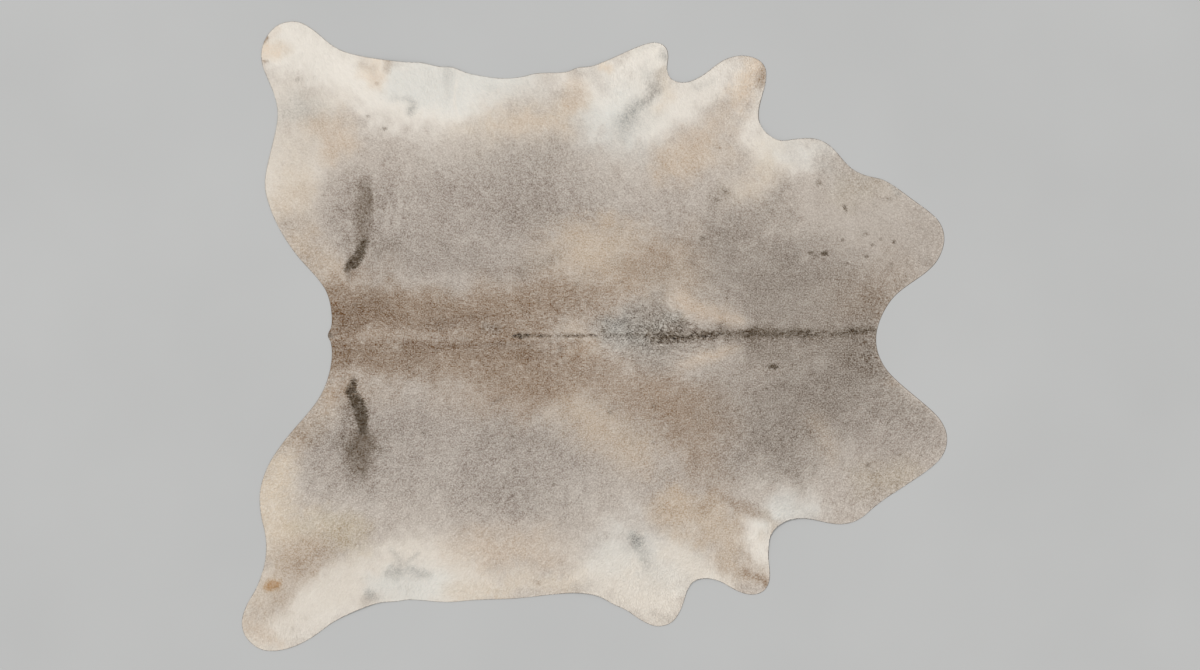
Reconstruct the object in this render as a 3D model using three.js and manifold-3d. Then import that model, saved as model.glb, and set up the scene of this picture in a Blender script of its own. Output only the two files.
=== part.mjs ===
// A whole cowhide rug, one tanned skin laid flat with its hair side up.
// Millimetres, +Z up. +X runs along the backbone to the neck, +Y is the animal's left side.
// The underside lies on the floor at z = 0, apart from a few soft waves along the rim.

import * as THREE from "three";
import { mergeVertices } from "three/addons/utils/BufferGeometryUtils.js";
import Module from "manifold-3d";

// Thickness of the skin with its lying hair: thickest along the backbone, thin at the cut rim.
const BACK_THICKNESS = 5.6;
const FLANK_THICKNESS = 4.4;
const RIM_THICKNESS = 3.2;
const BACK_HALF_WIDTH = 420; // how far from the backbone the thick back fades out
const RIM_TAPER = 110; // how far in from the rim the skin grows to its full thickness

// Spacing of the points that carry the shape.
const RIM_STEP = 17;
const RELIEF_STEP = 46;

// Low cockles all over the skin, as two crossed waves.
const COCKLE_HEIGHT = 0.35;
const COCKLE_LENGTH = 310;
const COCKLE_WIDTH = 230;

// The cut rim, read anticlockwise from the middle of the neck, as [along, across] points.
// A smooth curve runs through them all and closes on itself.
const RIM = [
  {
    stretch: "neck cut, left half",
    through: [[916, 1], [965, 118], [1087, 215]],
  },
  {
    stretch: "left cheek and shoulder",
    through: [
      [1118, 251], [1138, 313], [1123, 370], [1029, 449], [941, 508],
      [882, 523], [837, 545], [762, 623], [717, 643], [655, 642],
      [603, 636], [564, 656], [538, 690], [534, 729], [558, 833],
    ],
  },
  {
    stretch: "left foreleg and the notch behind it",
    through: [
      [557, 872], [536, 898], [483, 913], [424, 900], [343, 843],
      [291, 824], [249, 836], [236, 865], [241, 911], [232, 942],
    ],
  },
  {
    stretch: "left elbow flap and belly edge",
    through: [
      [193, 956], [-8, 878], [-57, 873], [-86, 860], [-190, 855],
      [-239, 843], [-307, 839], [-421, 858], [-460, 875], [-502, 876],
      [-564, 890], [-606, 890], [-824, 930], [-921, 1002], [-964, 1023],
    ],
  },
  {
    stretch: "left hind leg and rump",
    through: [
      [-1019, 1017], [-1055, 989], [-1079, 943], [-1081, 891], [-1038, 778],
      [-1029, 716], [-1071, 498], [-1058, 430], [-1025, 352], [-973, 271],
      [-869, 141], [-856, 24],
    ],
  },
  {
    stretch: "stub of the tail",
    through: [[-871, 6], [-858, -14]],
  },
  {
    stretch: "right rump and hind leg",
    through: [
      [-853, -64], [-868, -142], [-899, -207], [-1012, -345], [-1061, -422],
      [-1086, -500], [-1084, -578], [-1068, -652], [-1069, -724], [-1094, -808],
      [-1133, -880], [-1146, -929], [-1133, -977], [-1090, -1015], [-1045, -1023],
      [-980, -1010], [-918, -979], [-840, -924],
    ],
  },
  {
    stretch: "right belly edge",
    through: [
      [-704, -867], [-642, -862], [-606, -856], [-479, -864], [-388, -857],
      [-258, -852], [-57, -834], [15, -845], [60, -870], [106, -891], [151, -922],
    ],
  },
  {
    stretch: "right elbow flap and the notch before it",
    through: [[203, -943], [252, -930], [280, -891], [315, -802], [356, -786], [408, -796]],
  },
  {
    stretch: "right foreleg and shoulder",
    through: [
      [457, -824], [509, -840], [551, -828], [570, -792], [566, -714], [570, -654],
      [590, -621], [626, -599], [678, -591], [795, -611], [853, -599],
    ],
  },
  {
    stretch: "right cheek and neck cut",
    through: [[928, -540], [1126, -396], [1147, -337], [1129, -277], [941, -95]],
  },
];

// Creases and low ridges of the hair side: a soft band of half width `width` from one end to
// the other, raised by `rise` or sunk where `rise` is negative.
const FOLDS = [
  { name: "ridge of the backbone", from: [-840, 2], to: [905, 12], width: 85, rise: 1.5 },
  { name: "parting on the withers", from: [-260, 4], to: [900, 12], width: 46, rise: -1.1 },
  { name: "whorl between the shoulders", from: [120, 0], to: [330, 4], width: 110, rise: -0.8 },
  { name: "left thigh crease", from: [-805, 215], to: [-745, 320], width: 60, rise: -1.4 },
  { name: "left thigh crease, upper", from: [-745, 320], to: [-750, 500], width: 75, rise: -1.0 },
  { name: "right thigh crease", from: [-790, -155], to: [-755, -300], width: 60, rise: -1.4 },
  { name: "right thigh crease, lower", from: [-755, -300], to: [-755, -450], width: 80, rise: -1.1 },
  { name: "left flank fold", from: [-680, 790], to: [-590, 735], width: 65, rise: -1.3 },
  { name: "left flank swell", from: [-700, 715], to: [-500, 690], width: 80, rise: 0.9 },
  { name: "right flank fold", from: [-730, -765], to: [-560, -765], width: 70, rise: -1.3 },
  { name: "right flank swell", from: [-690, -690], to: [-470, -720], width: 80, rise: 0.9 },
  { name: "left elbow fold", from: [200, 870], to: [105, 690], width: 65, rise: -1.4 },
  { name: "left elbow swell", from: [105, 880], to: [30, 730], width: 80, rise: 1.0 },
  { name: "right elbow fold", from: [135, -640], to: [170, -770], width: 65, rise: -1.4 },
  { name: "left shoulder crease", from: [640, 520], to: [470, 410], width: 65, rise: -1.0 },
  { name: "right shoulder crease", from: [660, -590], to: [430, -530], width: 60, rise: -1.2 },
  { name: "left foreleg ridge", from: [505, 870], to: [330, 640], width: 85, rise: 0.9 },
  { name: "right foreleg ridge", from: [530, -790], to: [350, -590], width: 85, rise: 0.9 },
];

// Waves of the rim that stand a little off the floor: highest at `at`, on the floor past `reach`.
// They lie in the bays of the outline, so the legs, flaps and cheeks that reach farthest lie flat.
const WAVES = [
  { name: "left belly edge", at: [-640, 915], reach: 190, height: 7.0 },
  { name: "left belly edge, forward", at: [-462, 890], reach: 120, height: 4.5 },
  { name: "left belly edge at the elbow", at: [-30, 895], reach: 120, height: 5.0 },
  { name: "right belly edge, rear", at: [-740, -905], reach: 130, height: 4.0 },
  { name: "right belly edge, forward", at: [-20, -860], reach: 130, height: 4.5 },
  { name: "notch of the left elbow", at: [290, 800], reach: 110, height: 4.0 },
  { name: "notch of the left shoulder", at: [560, 650], reach: 120, height: 4.0 },
  { name: "notch of the right elbow", at: [345, -770], reach: 110, height: 4.0 },
  { name: "notch of the right shoulder", at: [630, -640], reach: 140, height: 8.0 },
];

// One at the middle of a soft hump and zero, with a level slope, at its edge and beyond.
function softHump(share) {
  return share >= 1 ? 0 : (1 - share * share) ** 2;
}

// Distance of a point from the straight line between two ends.
function distanceToLine(x, y, [x0, y0], [x1, y1]) {
  const alongX = x1 - x0;
  const alongY = y1 - y0;
  const share = ((x - x0) * alongX + (y - y0) * alongY) / (alongX ** 2 + alongY ** 2);
  const near = THREE.MathUtils.clamp(share, 0, 1);
  return Math.hypot(x - x0 - near * alongX, y - y0 - near * alongY);
}

// The rim as an even row of points on one closed smooth curve.
function rimPoints() {
  const knots = RIM.flatMap((row) => row.through).map(([x, y]) => new THREE.Vector3(x, y, 0));
  const curve = new THREE.CatmullRomCurve3(knots, true, "centripetal");
  curve.arcLengthDivisions = knots.length * 20;
  const steps = Math.round(curve.getLength() / RIM_STEP);
  return curve.getSpacedPoints(steps).slice(0, steps);
}

const rim = rimPoints();

// How far the skin's underside stands off the floor.
function liftAt(x, y) {
  let lift = 0;
  for (const { at, reach, height } of WAVES) {
    lift = Math.max(lift, height * softHump(Math.hypot(x - at[0], y - at[1]) / reach));
  }
  return lift;
}

// Thickness of the skin and its coat, with the folds of the hair side.
function thicknessAt(x, y) {
  const toRim = Math.min(...rim.map((p) => Math.hypot(p.x - x, p.y - y)));
  const body = THREE.MathUtils.smoothstep(toRim, 0, RIM_TAPER);
  const back = Math.exp(-((y / BACK_HALF_WIDTH) ** 2));
  const full = THREE.MathUtils.lerp(FLANK_THICKNESS, BACK_THICKNESS, back);
  const cockle =
    COCKLE_HEIGHT *
    Math.sin((2 * Math.PI * (x + 0.35 * y)) / COCKLE_LENGTH) *
    Math.cos((2 * Math.PI * (y - 0.2 * x)) / COCKLE_WIDTH);
  let folded = 0;
  for (const { from, to, width, rise } of FOLDS) {
    folded += rise * softHump(distanceToLine(x, y, from, to) / width);
  }
  return THREE.MathUtils.lerp(RIM_THICKNESS, full + cockle + folded, body);
}

// A closed rectangular slab wider than the hide, with the hide's two faces as its top and bottom.
function reliefSlab(box) {
  const columns = Math.ceil((box.max.x - box.min.x) / RELIEF_STEP) + 2;
  const rows = Math.ceil((box.max.y - box.min.y) / RELIEF_STEP) + 2;
  const startX = (box.min.x + box.max.x - columns * RELIEF_STEP) / 2;
  const startY = (box.min.y + box.max.y - rows * RELIEF_STEP) / 2;
  const position = [];
  for (const top of [0, 1]) {
    for (let row = 0; row <= rows; row++) {
      for (let column = 0; column <= columns; column++) {
        const x = startX + column * RELIEF_STEP;
        const y = startY + row * RELIEF_STEP;
        position.push(x, y, liftAt(x, y) + top * thicknessAt(x, y));
      }
    }
  }
  const perRow = columns + 1;
  const perFace = perRow * (rows + 1);
  const index = [];
  const quad = (a, b, c, d) => index.push(a, b, c, a, c, d);
  for (let row = 0; row < rows; row++) {
    for (let column = 0; column < columns; column++) {
      const a = row * perRow + column;
      const [b, c, d] = [a + 1, a + perRow + 1, a + perRow];
      // Neighbouring cells are split along opposite diagonals, so no grain shows in the relief.
      if ((row + column) % 2) {
        quad(a + perFace, b + perFace, c + perFace, d + perFace);
        quad(a, d, c, b);
      } else {
        quad(b + perFace, c + perFace, d + perFace, a + perFace);
        quad(d, c, b, a);
      }
    }
  }
  const wall = (a, b) => quad(a, b, b + perFace, a + perFace);
  for (let column = 0; column < columns; column++) {
    wall(column, column + 1);
    wall(rows * perRow + column + 1, rows * perRow + column);
  }
  for (let row = 0; row < rows; row++) {
    wall((row + 1) * perRow, row * perRow);
    wall(row * perRow + columns, (row + 1) * perRow + columns);
  }
  return new THREE.BufferGeometry()
    .setAttribute("position", new THREE.Float32BufferAttribute(position, 3))
    .setIndex(index);
}

// The cutting prism: the rim's outline, taller than the hide.
function rimPrism(box) {
  const outline = new THREE.Shape(rim.map((p) => new THREE.Vector2(p.x, p.y)));
  const clear = BACK_THICKNESS;
  const depth = box.max.z + 2 * clear;
  return new THREE.ExtrudeGeometry(outline, { depth, bevelEnabled: false }).translate(0, 0, -clear);
}

const wasm = await Module();
wasm.setup();

function solidOf(geometry) {
  geometry.deleteAttribute("normal");
  geometry.deleteAttribute("uv");
  const merged = mergeVertices(geometry);
  return new wasm.Manifold(
    new wasm.Mesh({
      numProp: 3,
      vertProperties: merged.attributes.position.array,
      triVerts: new Uint32Array(merged.index.array),
    }),
  );
}

// The hide: the relief slab trimmed to the rim, then centred on the middle of its box.
function hideGeometry() {
  const rimBox = new THREE.Box3().setFromPoints(rim);
  const slab = reliefSlab(rimBox);
  slab.computeBoundingBox();
  const cut = solidOf(slab).intersect(solidOf(rimPrism(slab.boundingBox))).getMesh();
  const geometry = new THREE.BufferGeometry()
    .setAttribute("position", new THREE.BufferAttribute(cut.vertProperties, 3))
    .setIndex(new THREE.BufferAttribute(cut.triVerts, 1));
  const middle = rimBox.getCenter(new THREE.Vector3());
  geometry.translate(-middle.x, -middle.y, 0);
  geometry.computeVertexNormals();
  return geometry;
}

const coat = new THREE.MeshStandardMaterial({ color: 0xb2a89e, roughness: 0.85, metalness: 0 });

const hide = new THREE.Mesh(hideGeometry(), coat);
hide.name = "hide";

const group = new THREE.Group();
group.add(hide);

export default group;
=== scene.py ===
"""A whole cowhide rug, hair side up, laid flat on a pale floor.

The hide is one thin skin that follows the folds of the CAD solid. Its coat is short lying hair,
made as small blades with a root, two sides and a tip, and coloured by named brush marks.
Lengths in the tables are millimetres, and Blender's own are metres.
"""

import math
from collections import namedtuple

import bmesh
import bpy
import numpy as np
from bpy.props import FloatProperty, FloatVectorProperty, IntProperty, PointerProperty
from bpy.types import Operator, Panel, PropertyGroup
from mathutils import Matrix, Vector
from mathutils.bvhtree import BVHTree
from mathutils.geometry import delaunay_2d_cdt
from mathutils.kdtree import KDTree


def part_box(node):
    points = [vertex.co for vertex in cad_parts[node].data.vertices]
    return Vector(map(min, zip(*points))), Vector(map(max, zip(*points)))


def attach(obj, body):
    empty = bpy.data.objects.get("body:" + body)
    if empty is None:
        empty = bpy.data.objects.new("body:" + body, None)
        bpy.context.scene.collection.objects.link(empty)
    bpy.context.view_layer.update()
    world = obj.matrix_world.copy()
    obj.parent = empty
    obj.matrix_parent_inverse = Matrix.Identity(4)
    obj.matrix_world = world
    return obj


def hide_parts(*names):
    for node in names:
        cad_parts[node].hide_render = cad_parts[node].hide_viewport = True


bl_info = {
    "name": "Cowhide rug",
    "version": (1, 0, 0),
    "blender": (4, 5, 0),
    "location": "3D View > Sidebar > Cowhide",
    "description": "Makes a whole cowhide rug with its short coat around the packed model",
    "category": "Object",
}

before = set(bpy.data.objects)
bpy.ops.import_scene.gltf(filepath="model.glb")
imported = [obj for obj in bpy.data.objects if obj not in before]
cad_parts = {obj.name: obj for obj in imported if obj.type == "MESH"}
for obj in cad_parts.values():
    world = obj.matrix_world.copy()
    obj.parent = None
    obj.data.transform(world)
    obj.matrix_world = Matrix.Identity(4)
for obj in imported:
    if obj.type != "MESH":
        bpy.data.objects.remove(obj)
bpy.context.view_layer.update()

MM = 0.001
HIDE_NODE = "hide"

# The photograph's frame and the camera that stands over it.
IMAGE_SIZE = (1200, 670)
MM_PER_PIXEL = 3.25
MIDDLE_PIXEL = (594.5, 336.25)
LENS = 50.0
SENSOR_WIDTH = 36.0

COAT_PIECES = ("coat_rump", "coat_loin", "coat_flanks", "coat_shoulders", "coat_neck")

# Reading the solid, in millimetres. A face counts as a wall or as the underside by how much of
# its normal is vertical, and an underside that lifts less than the least lift is on the floor.
MAP_SMOOTHING = 13.0
WALL_NORMAL = 0.3
UNDERSIDE_NORMAL = 0.7
RIM_STEP = 6.0
FINE_RIM_STEP = 1.0
LEAST_LIFT = 0.05

# Kinds of hair: the colour that it makes from a step away, as 8-bit sRGB, and how roan it is.
# Roan is the share of the usual speckle of dark hairs among cream ones.
Hair = namedtuple("Hair", "colour roan")

COAT_COLOURS = {
    "mantle": Hair((187, 177, 167), 1.0),
    "cheek": Hair((180, 170, 160), 0.6),
    "cream": Hair((227, 221, 212), 1.0),
    "white": Hair((218, 216, 210), 0.8),
    "ivory": Hair((217, 209, 198), 0.8),
    "buff": Hair((209, 196, 179), 1.0),
    "tan": Hair((198, 181, 163), 1.0),
    "honey": Hair((191, 175, 157), 1.0),
    "warm_brown": Hair((160, 142, 125), 0.75),
    "brown": Hair((146, 127, 109), 0.72),
    "deep_brown": Hair((128, 109, 92), 0.6),
    "grey": Hair((166, 156, 147), 1.0),
    "taupe": Hair((148, 138, 128), 0.8),
    "umber": Hair((136, 125, 114), 0.8),
    "slate": Hair((158, 155, 149), 1.5),
    "olive": Hair((182, 167, 142), 1.0),
    "peach": Hair((222, 208, 191), 0.8),
    "rust": Hair((178, 144, 108), 0.4),
    "smoke": Hair((108, 95, 82), 0.2),
    "dark": Hair((80, 68, 54), 0.2),
}

# One brush mark on the coat. `path` runs through [along, across] points in millimetres, and
# `strength` and `half_width` are one number, or one for each point of the path.
Mark = namedtuple("Mark", "name colour strength half_width feather path")

PALE_MARKS = (
    Mark("left hind leg and belly", "cream", (1.0, 1.0, 1.0, 1.0, 0.97, 1.0, 0.9, 0.7, 0.6, 0.7),
         (125, 110, 105, 120, 132, 130, 100, 75, 65, 60), 75,
         ((-1015, 965), (-950, 945), (-870, 893), (-760, 835), (-620, 795), (-480, 790), (-350, 815),
          (-230, 840),
          (-130, 850), (-50, 850))),
    Mark("left hock, pale", "ivory", 0.85, (65, 75, 60), 60, ((-1020, 770), (-950, 740), (-880, 760))),
    Mark("left thigh edge", "ivory", 0.95, (50, 90, 85, 40), 65,
         ((-1060, 680), (-1078, 560), (-1070, 450), (-1040, 370))),
    Mark("left thigh, pale", "ivory", (0.7, 0.75, 0.6, 0.4), (75, 78, 66, 40), 85,
         ((-900, 630), (-930, 560), (-950, 450), (-930, 370))),
    Mark("left thigh, yellow cream", "buff", (0.2, 0.5, 0.5, 0.4), (40, 50, 50, 40), 60,
         ((-950, 620), (-970, 530), (-975, 450), (-950, 370))),
    Mark("left belly white", "white", 0.8, (50, 70, 75, 60, 30), 45,
         ((-640, 830), (-560, 810), (-450, 800), (-350, 830), (-240, 860))),
    Mark("left elbow flap", "cream", 1.0, (75, 100, 110, 90), 60,
         ((-20, 850), (60, 790), (130, 800), (180, 900))),
    Mark("left elbow, inner", "white", 0.8, (80, 92, 78), 95,
         ((20, 700), (110, 690), (190, 710))),
    Mark("notch of the left elbow", "cream", 0.9, (75, 80, 60, 50), 60,
         ((210, 740), (300, 770), (370, 830), (430, 880))),
    Mark("left foreleg, front side", "cream", 0.9, (26, 50, 62, 62), 60,
         ((556, 800), (535, 720), (555, 640), (640, 600))),
    Mark("left shoulder, pale rim", "white", 0.55, (45, 40, 30), 55,
         ((600, 600), (680, 605), (760, 600))),
    Mark("left shoulder streak", "buff", 0.6, (50, 40, 22), 55,
         ((560, 570), (530, 500), (470, 470))),
    Mark("right hind leg and belly", "ivory", 1.0, (95, 90, 92, 108, 118, 122, 110), 60,
         ((-1085, -985), (-980, -905), (-860, -830), (-740, -785), (-620, -775), (-520, -780), (-440, -800))),
    Mark("right belly pale", "ivory", (0.8, 0.7, 0.45, 0.6), (80, 62, 50, 60), 60,
         ((-440, -790), (-320, -820), (-180, -825), (-60, -810))),
    Mark("right belly white", "white", 0.75, (45, 60, 55), 40,
         ((-690, -800), (-600, -815), (-510, -810))),
    Mark("right thigh edge", "buff", 1.0, (60, 85, 95, 70, 40), 65,
         ((-1020, -420), (-1060, -500), (-1040, -570), (-1010, -640), (-960, -660))),
    Mark("right elbow flap", "ivory", 1.0, (75, 105, 110, 70), 50,
         ((0, -800), (90, -790), (180, -820), (220, -890))),
    Mark("right elbow, inner", "white", (0.55, 0.6, 0.7, 0.8), (60, 75, 72, 50), 75,
         ((20, -710), (110, -680), (200, -690), (290, -750))),
    Mark("notch of the right elbow", "ivory", 0.9, (55, 42, 30), 36,
         ((250, -700), (350, -775), (440, -815))),
    Mark("right foreleg, front side", "cream", 0.85, (50, 45, 24), 36,
         ((525, -620), (540, -690), (562, -760))),
    Mark("right shoulder, pale rim", "white", 0.9, (35, 50, 45, 25), 46,
         ((560, -600), (620, -560), (670, -550), (720, -560))),
)

BODY_MARKS = (
    Mark("left flank", "grey", (0.8, 0.7, 0.8, 0.95, 0.7), (90, 136, 146, 144, 105), 100,
         ((-780, 400), (-640, 400), (-420, 430), (-220, 460), (-80, 470))),
    Mark("left flank, rear", "grey", 0.3, (50, 60), 60, ((-760, 460), (-700, 330))),
    Mark("left flank, dark near the belly", "taupe", (0.0, 0.25, 0.4, 0.0), (60, 60, 55, 40), 60,
         ((-470, 500), (-300, 560), (-150, 580), (-60, 580))),
    Mark("left flank, dark middle", "taupe", (0.1, 0.45, 0.1), (60, 60, 50), 60,
         ((-340, 400), (-200, 415), (-60, 430))),
    Mark("left flank, by the backbone", "grey", (0.4, 0.75, 0.8, 0.5), (50, 55, 60, 50), 70,
         ((-700, 220), (-560, 260), (-380, 240), (-240, 230))),
    Mark("left flank, fore part", "grey", (0.3, 0.45, 0.35, 0.3), 80, 70,
         ((20, 420), (110, 420), (220, 400), (320, 400))),
    Mark("left hock mottle", "slate", (0.3, 0.4, 0.25), (30, 40, 35), 45,
         ((-1010, 720), (-940, 745), (-890, 710))),
    Mark("left thigh tan", "tan", 0.75, (30, 45, 50, 30), 50,
         ((-910, 690), (-850, 675), (-825, 640), (-850, 600))),
    Mark("left belly tan", "buff", (0.4, 0.7, 0.8, 0.8, 0.7), (30, 46, 52, 46, 22), 60,
         ((-440, 660), (-330, 680), (-220, 695), (-130, 705), (-66, 760))),
    Mark("left belly tan, middle", "tan", (0.3, 0.6, 0.4), (20, 30, 20), 45,
         ((-320, 670), (-220, 690), (-120, 695))),
    Mark("left belly orange rise", "tan", (0.7, 0.55), (22, 18), 30, ((-66, 760), (-62, 840))),
    Mark("left rump edge", "honey", 0.6, (45, 50, 40), 50,
         ((-940, 300), (-880, 220), (-850, 190))),
    Mark("left foreleg, end", "peach", 0.9, (40, 44), 40, ((480, 800), (510, 870))),
    Mark("left foreleg tan", "tan", (0.85, 0.85, 0.7, 0.6, 0.35), (58, 52, 30, 20, 14), 55,
         ((270, 560), (345, 620), (425, 700), (490, 790), (522, 850))),
    Mark("left foreleg tan, inner", "honey", 0.4, (50, 50, 40), 60,
         ((250, 570), (340, 570), (420, 590))),
    Mark("right flank", "grey", (0.8, 0.95, 0.75, 0.85, 0.75), (100, 130, 156, 150, 110), 100,
         ((-840, -360), (-700, -350), (-480, -395), (-260, -440), (-90, -440))),
    Mark("right flank, dark", "taupe", (0.0, 0.2, 0.3, 0.1), (60, 65, 65, 60), 60,
         ((-420, -460), (-300, -490), (-200, -510), (-90, -560))),
    Mark("right flank, middle", "taupe", (0.1, 0.35, 0.3, 0.1), (50, 60, 60, 50), 70,
         ((-420, -320), (-300, -310), (-190, -330), (-90, -360))),
    Mark("right thigh", "grey", 0.35, (50, 70, 60), 70,
         ((-900, -330), (-860, -400), (-820, -500))),
    Mark("right thigh olive", "olive", (0.6, 0.75, 0.6), (35, 50, 46), 60,
         ((-940, -620), (-860, -630), (-790, -640))),
    Mark("right hock tan", "honey", 0.85, (45, 58, 52, 42), 46,
         ((-900, -680), (-970, -720), (-1030, -780), (-1080, -850))),
    Mark("right hock brown", "warm_brown", (0.15, 0.4, 0.45, 0.4, 0.25), (35, 42, 38, 32, 28), 40,
         ((-850, -690), (-930, -730), (-985, -800), (-1040, -880), (-1090, -930))),
    Mark("right hind toe", "tan", 0.5, (30, 40), 36, ((-1110, -940), (-1060, -980))),
    Mark("right flank, low front", "grey", (0.3, 0.4, 0.3), (40, 50, 40), 70,
         ((100, -430), (250, -460), (360, -500))),
    Mark("right belly tan", "tan", (0.5, 0.75, 0.7, 0.4), (45, 60, 58, 45), 60,
         ((-440, -690), (-340, -700), (-210, -710), (-100, -700))),
    Mark("right belly pale rim", "buff", 0.6, (30, 30, 35), 36,
         ((-440, -830), (-300, -830), (-60, -810))),
    Mark("right foreleg tan", "honey", (1.0, 0.95, 0.8, 0.75, 0.6), (72, 82, 62, 48, 36), 50,
         ((270, -560), (360, -600), (410, -660), (450, -730), (505, -785))),
    Mark("right rump edge", "honey", 0.5, (40, 45, 40), 50,
         ((-960, -330), (-890, -240), (-860, -170))),
)

BACK_MARKS = (
    Mark("left rump band", "brown", (1.0, 0.95, 0.8, 0.75, 0.6, 0.5), (70, 62, 60, 62, 66, 60), 42,
         ((-880, 95), (-650, 88), (-400, 82), (-220, 90), (-90, 105), (0, 100))),
    Mark("left rump band, dark", "deep_brown", (0.6, 0.75, 0.15, 0.0), (60, 50, 40, 30), 44,
         ((-860, 85), (-720, 85), (-560, 60), (-300, 50))),
    Mark("right rump band", "brown", (0.95, 0.75, 0.8, 0.9, 0.65, 0.3), (62, 58, 62, 95, 100, 60), 46,
         ((-880, -65), (-650, -66), (-400, -78), (-220, -105), (-80, -110), (20, -110))),
    Mark("right rump band, dark", "deep_brown", (0.4, 0.3, 0.3, 0.3, 0.1), (40, 30, 26, 28, 20), 40,
         ((-860, -50), (-650, -55), (-400, -38), (-220, -50), (-100, -50))),
    Mark("right warm side, rear", "warm_brown", (0.3, 0.55, 0.65, 0.5), (30, 50, 62, 60), 62,
         ((-500, -180), (-390, -195), (-260, -200), (-120, -190))),
    Mark("left warm side", "honey", (0.6, 0.9, 0.8, 0.7), (60, 90, 80, 50), 95,
         ((-140, 250), (0, 260), (150, 230), (320, 190))),
    Mark("left warm side, darker", "warm_brown", (0.5, 0.55, 0.4, 0.5, 0.7, 0.6),
         (50, 60, 50, 60, 62, 50), 75,
         ((-330, 150), (-150, 150), (0, 140), (100, 190), (210, 240), (300, 290))),
    Mark("right warm side", "warm_brown", (0.5, 0.75, 0.95, 0.95), (60, 80, 92, 82), 80,
         ((-40, -130), (120, -175), (250, -230), (370, -270))),
    Mark("right warm side, low", "warm_brown", (0.5, 0.6, 0.4), (50, 55, 45), 75,
         ((280, -340), (350, -400), (400, -480))),
    Mark("left tan centre", "honey", 0.7, (50, 60, 50), 60,
         ((-50, 330), (0, 285), (40, 320))),
    Mark("right tan centre", "honey", 0.8, (60, 68, 55), 75,
         ((-60, -250), (20, -300), (140, -370))),
    Mark("pale middle of the back", "honey", (0.0, 0.45, 0.35, 0.0), (18, 28, 28, 20), 26,
         ((-170, 18), (-60, 20), (0, -20), (80, -30))),
    Mark("backbone, hind part", "brown", (0.6, 0.8, 0.5), (20, 34, 20), 34,
         ((-430, 6), (-300, 12), (-150, 10))),
    Mark("left rump, side", "warm_brown", (0.6, 0.55, 0.2), (24, 30, 24), 48,
         ((-850, 185), (-760, 200), (-670, 215))),
    Mark("right rump, side", "warm_brown", (0.5, 0.55, 0.25), (24, 34, 28), 48,
         ((-860, -180), (-760, -190), (-670, -195))),
    Mark("middle line of the rump", "warm_brown", (0.25, 0.25, 0.6, 0.28, 0.5, 0.2),
         (12, 14, 15, 13, 13, 10), 10,
         ((-845, 6), (-780, 5), (-730, 8), (-600, 8), (-470, 14), (-380, 8))),
)

NECK_MARKS = (
    Mark("left cheek", "cheek", 0.9, (120, 130, 100), 90, ((820, 380), (960, 330), (1090, 320))),
    Mark("left neck", "taupe", (0.6, 0.8, 0.85, 0.8, 0.8), (62, 105, 150, 145, 110), 95,
         ((390, 310), (480, 240), (600, 170), (740, 140), (880, 110))),
    Mark("left shoulder band", "taupe", (0.2, 0.45, 0.5, 0.5), (28, 32, 40, 40), 45,
         ((640, 490), (580, 440), (500, 390), (400, 330))),
    Mark("left neck, front of the whorl", "taupe", (0.35, 0.35, 0.3), (40, 44, 20), 50,
         ((370, 210), (430, 160), (460, 100))),
    Mark("left neck brown", "brown", (0.1, 0.3, 0.4, 0.3), (50, 70, 80, 50), 70,
         ((720, 110), (820, 110), (900, 120), (980, 190))),
    Mark("right cheek", "cheek", 0.8, (100, 120, 90), 90, ((840, -370), (980, -350), (1100, -330))),
    Mark("right cheek, grey", "grey", 0.6, (80, 95, 80), 85, ((830, -290), (960, -300), (1080, -300))),
    Mark("right cheek, rear", "grey", (0.3, 0.55, 0.5), (30, 40, 40), 60,
         ((760, -470), (840, -460), (920, -500))),
    Mark("right neck", "taupe", (0.5, 0.85, 0.95, 0.9, 0.7), (95, 125, 135, 125, 80), 90,
         ((440, -190), (560, -260), (700, -200), (850, -150), (970, -200))),
    Mark("right neck, dark", "taupe", (0.5, 0.85, 0.85), (50, 65, 55), 65,
         ((520, -340), (600, -360), (650, -410))),
    Mark("right neck, lower side", "taupe", 0.4, (40, 50, 40), 60,
         ((400, -400), (500, -440), (560, -450))),
    Mark("neck ridge, right", "umber", (0.3, 0.7, 0.75, 0.4, 0.8), (20, 45, 55, 50, 62), 50,
         ((430, -50), (520, -60), (600, -60), (710, -60), (880, -60))),
    Mark("neck ridge, left", "umber", (0.1, 0.25, 0.25, 0.2), (25, 40, 40, 50), 45,
         ((500, 50), (620, 60), (760, 60), (900, 70))),
    Mark("right neck tan", "honey", 0.35, (25, 30, 25), 35,
         ((720, -270), (750, -330), (770, -390))),
    Mark("left cheek olive", "olive", 0.2, (34, 38, 26), 50,
         ((820, 470), (890, 470), (940, 480))),
    Mark("right cheek olive", "olive", 0.3, (35, 40, 30), 50,
         ((870, -470), (950, -480), (1010, -440))),
)

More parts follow.
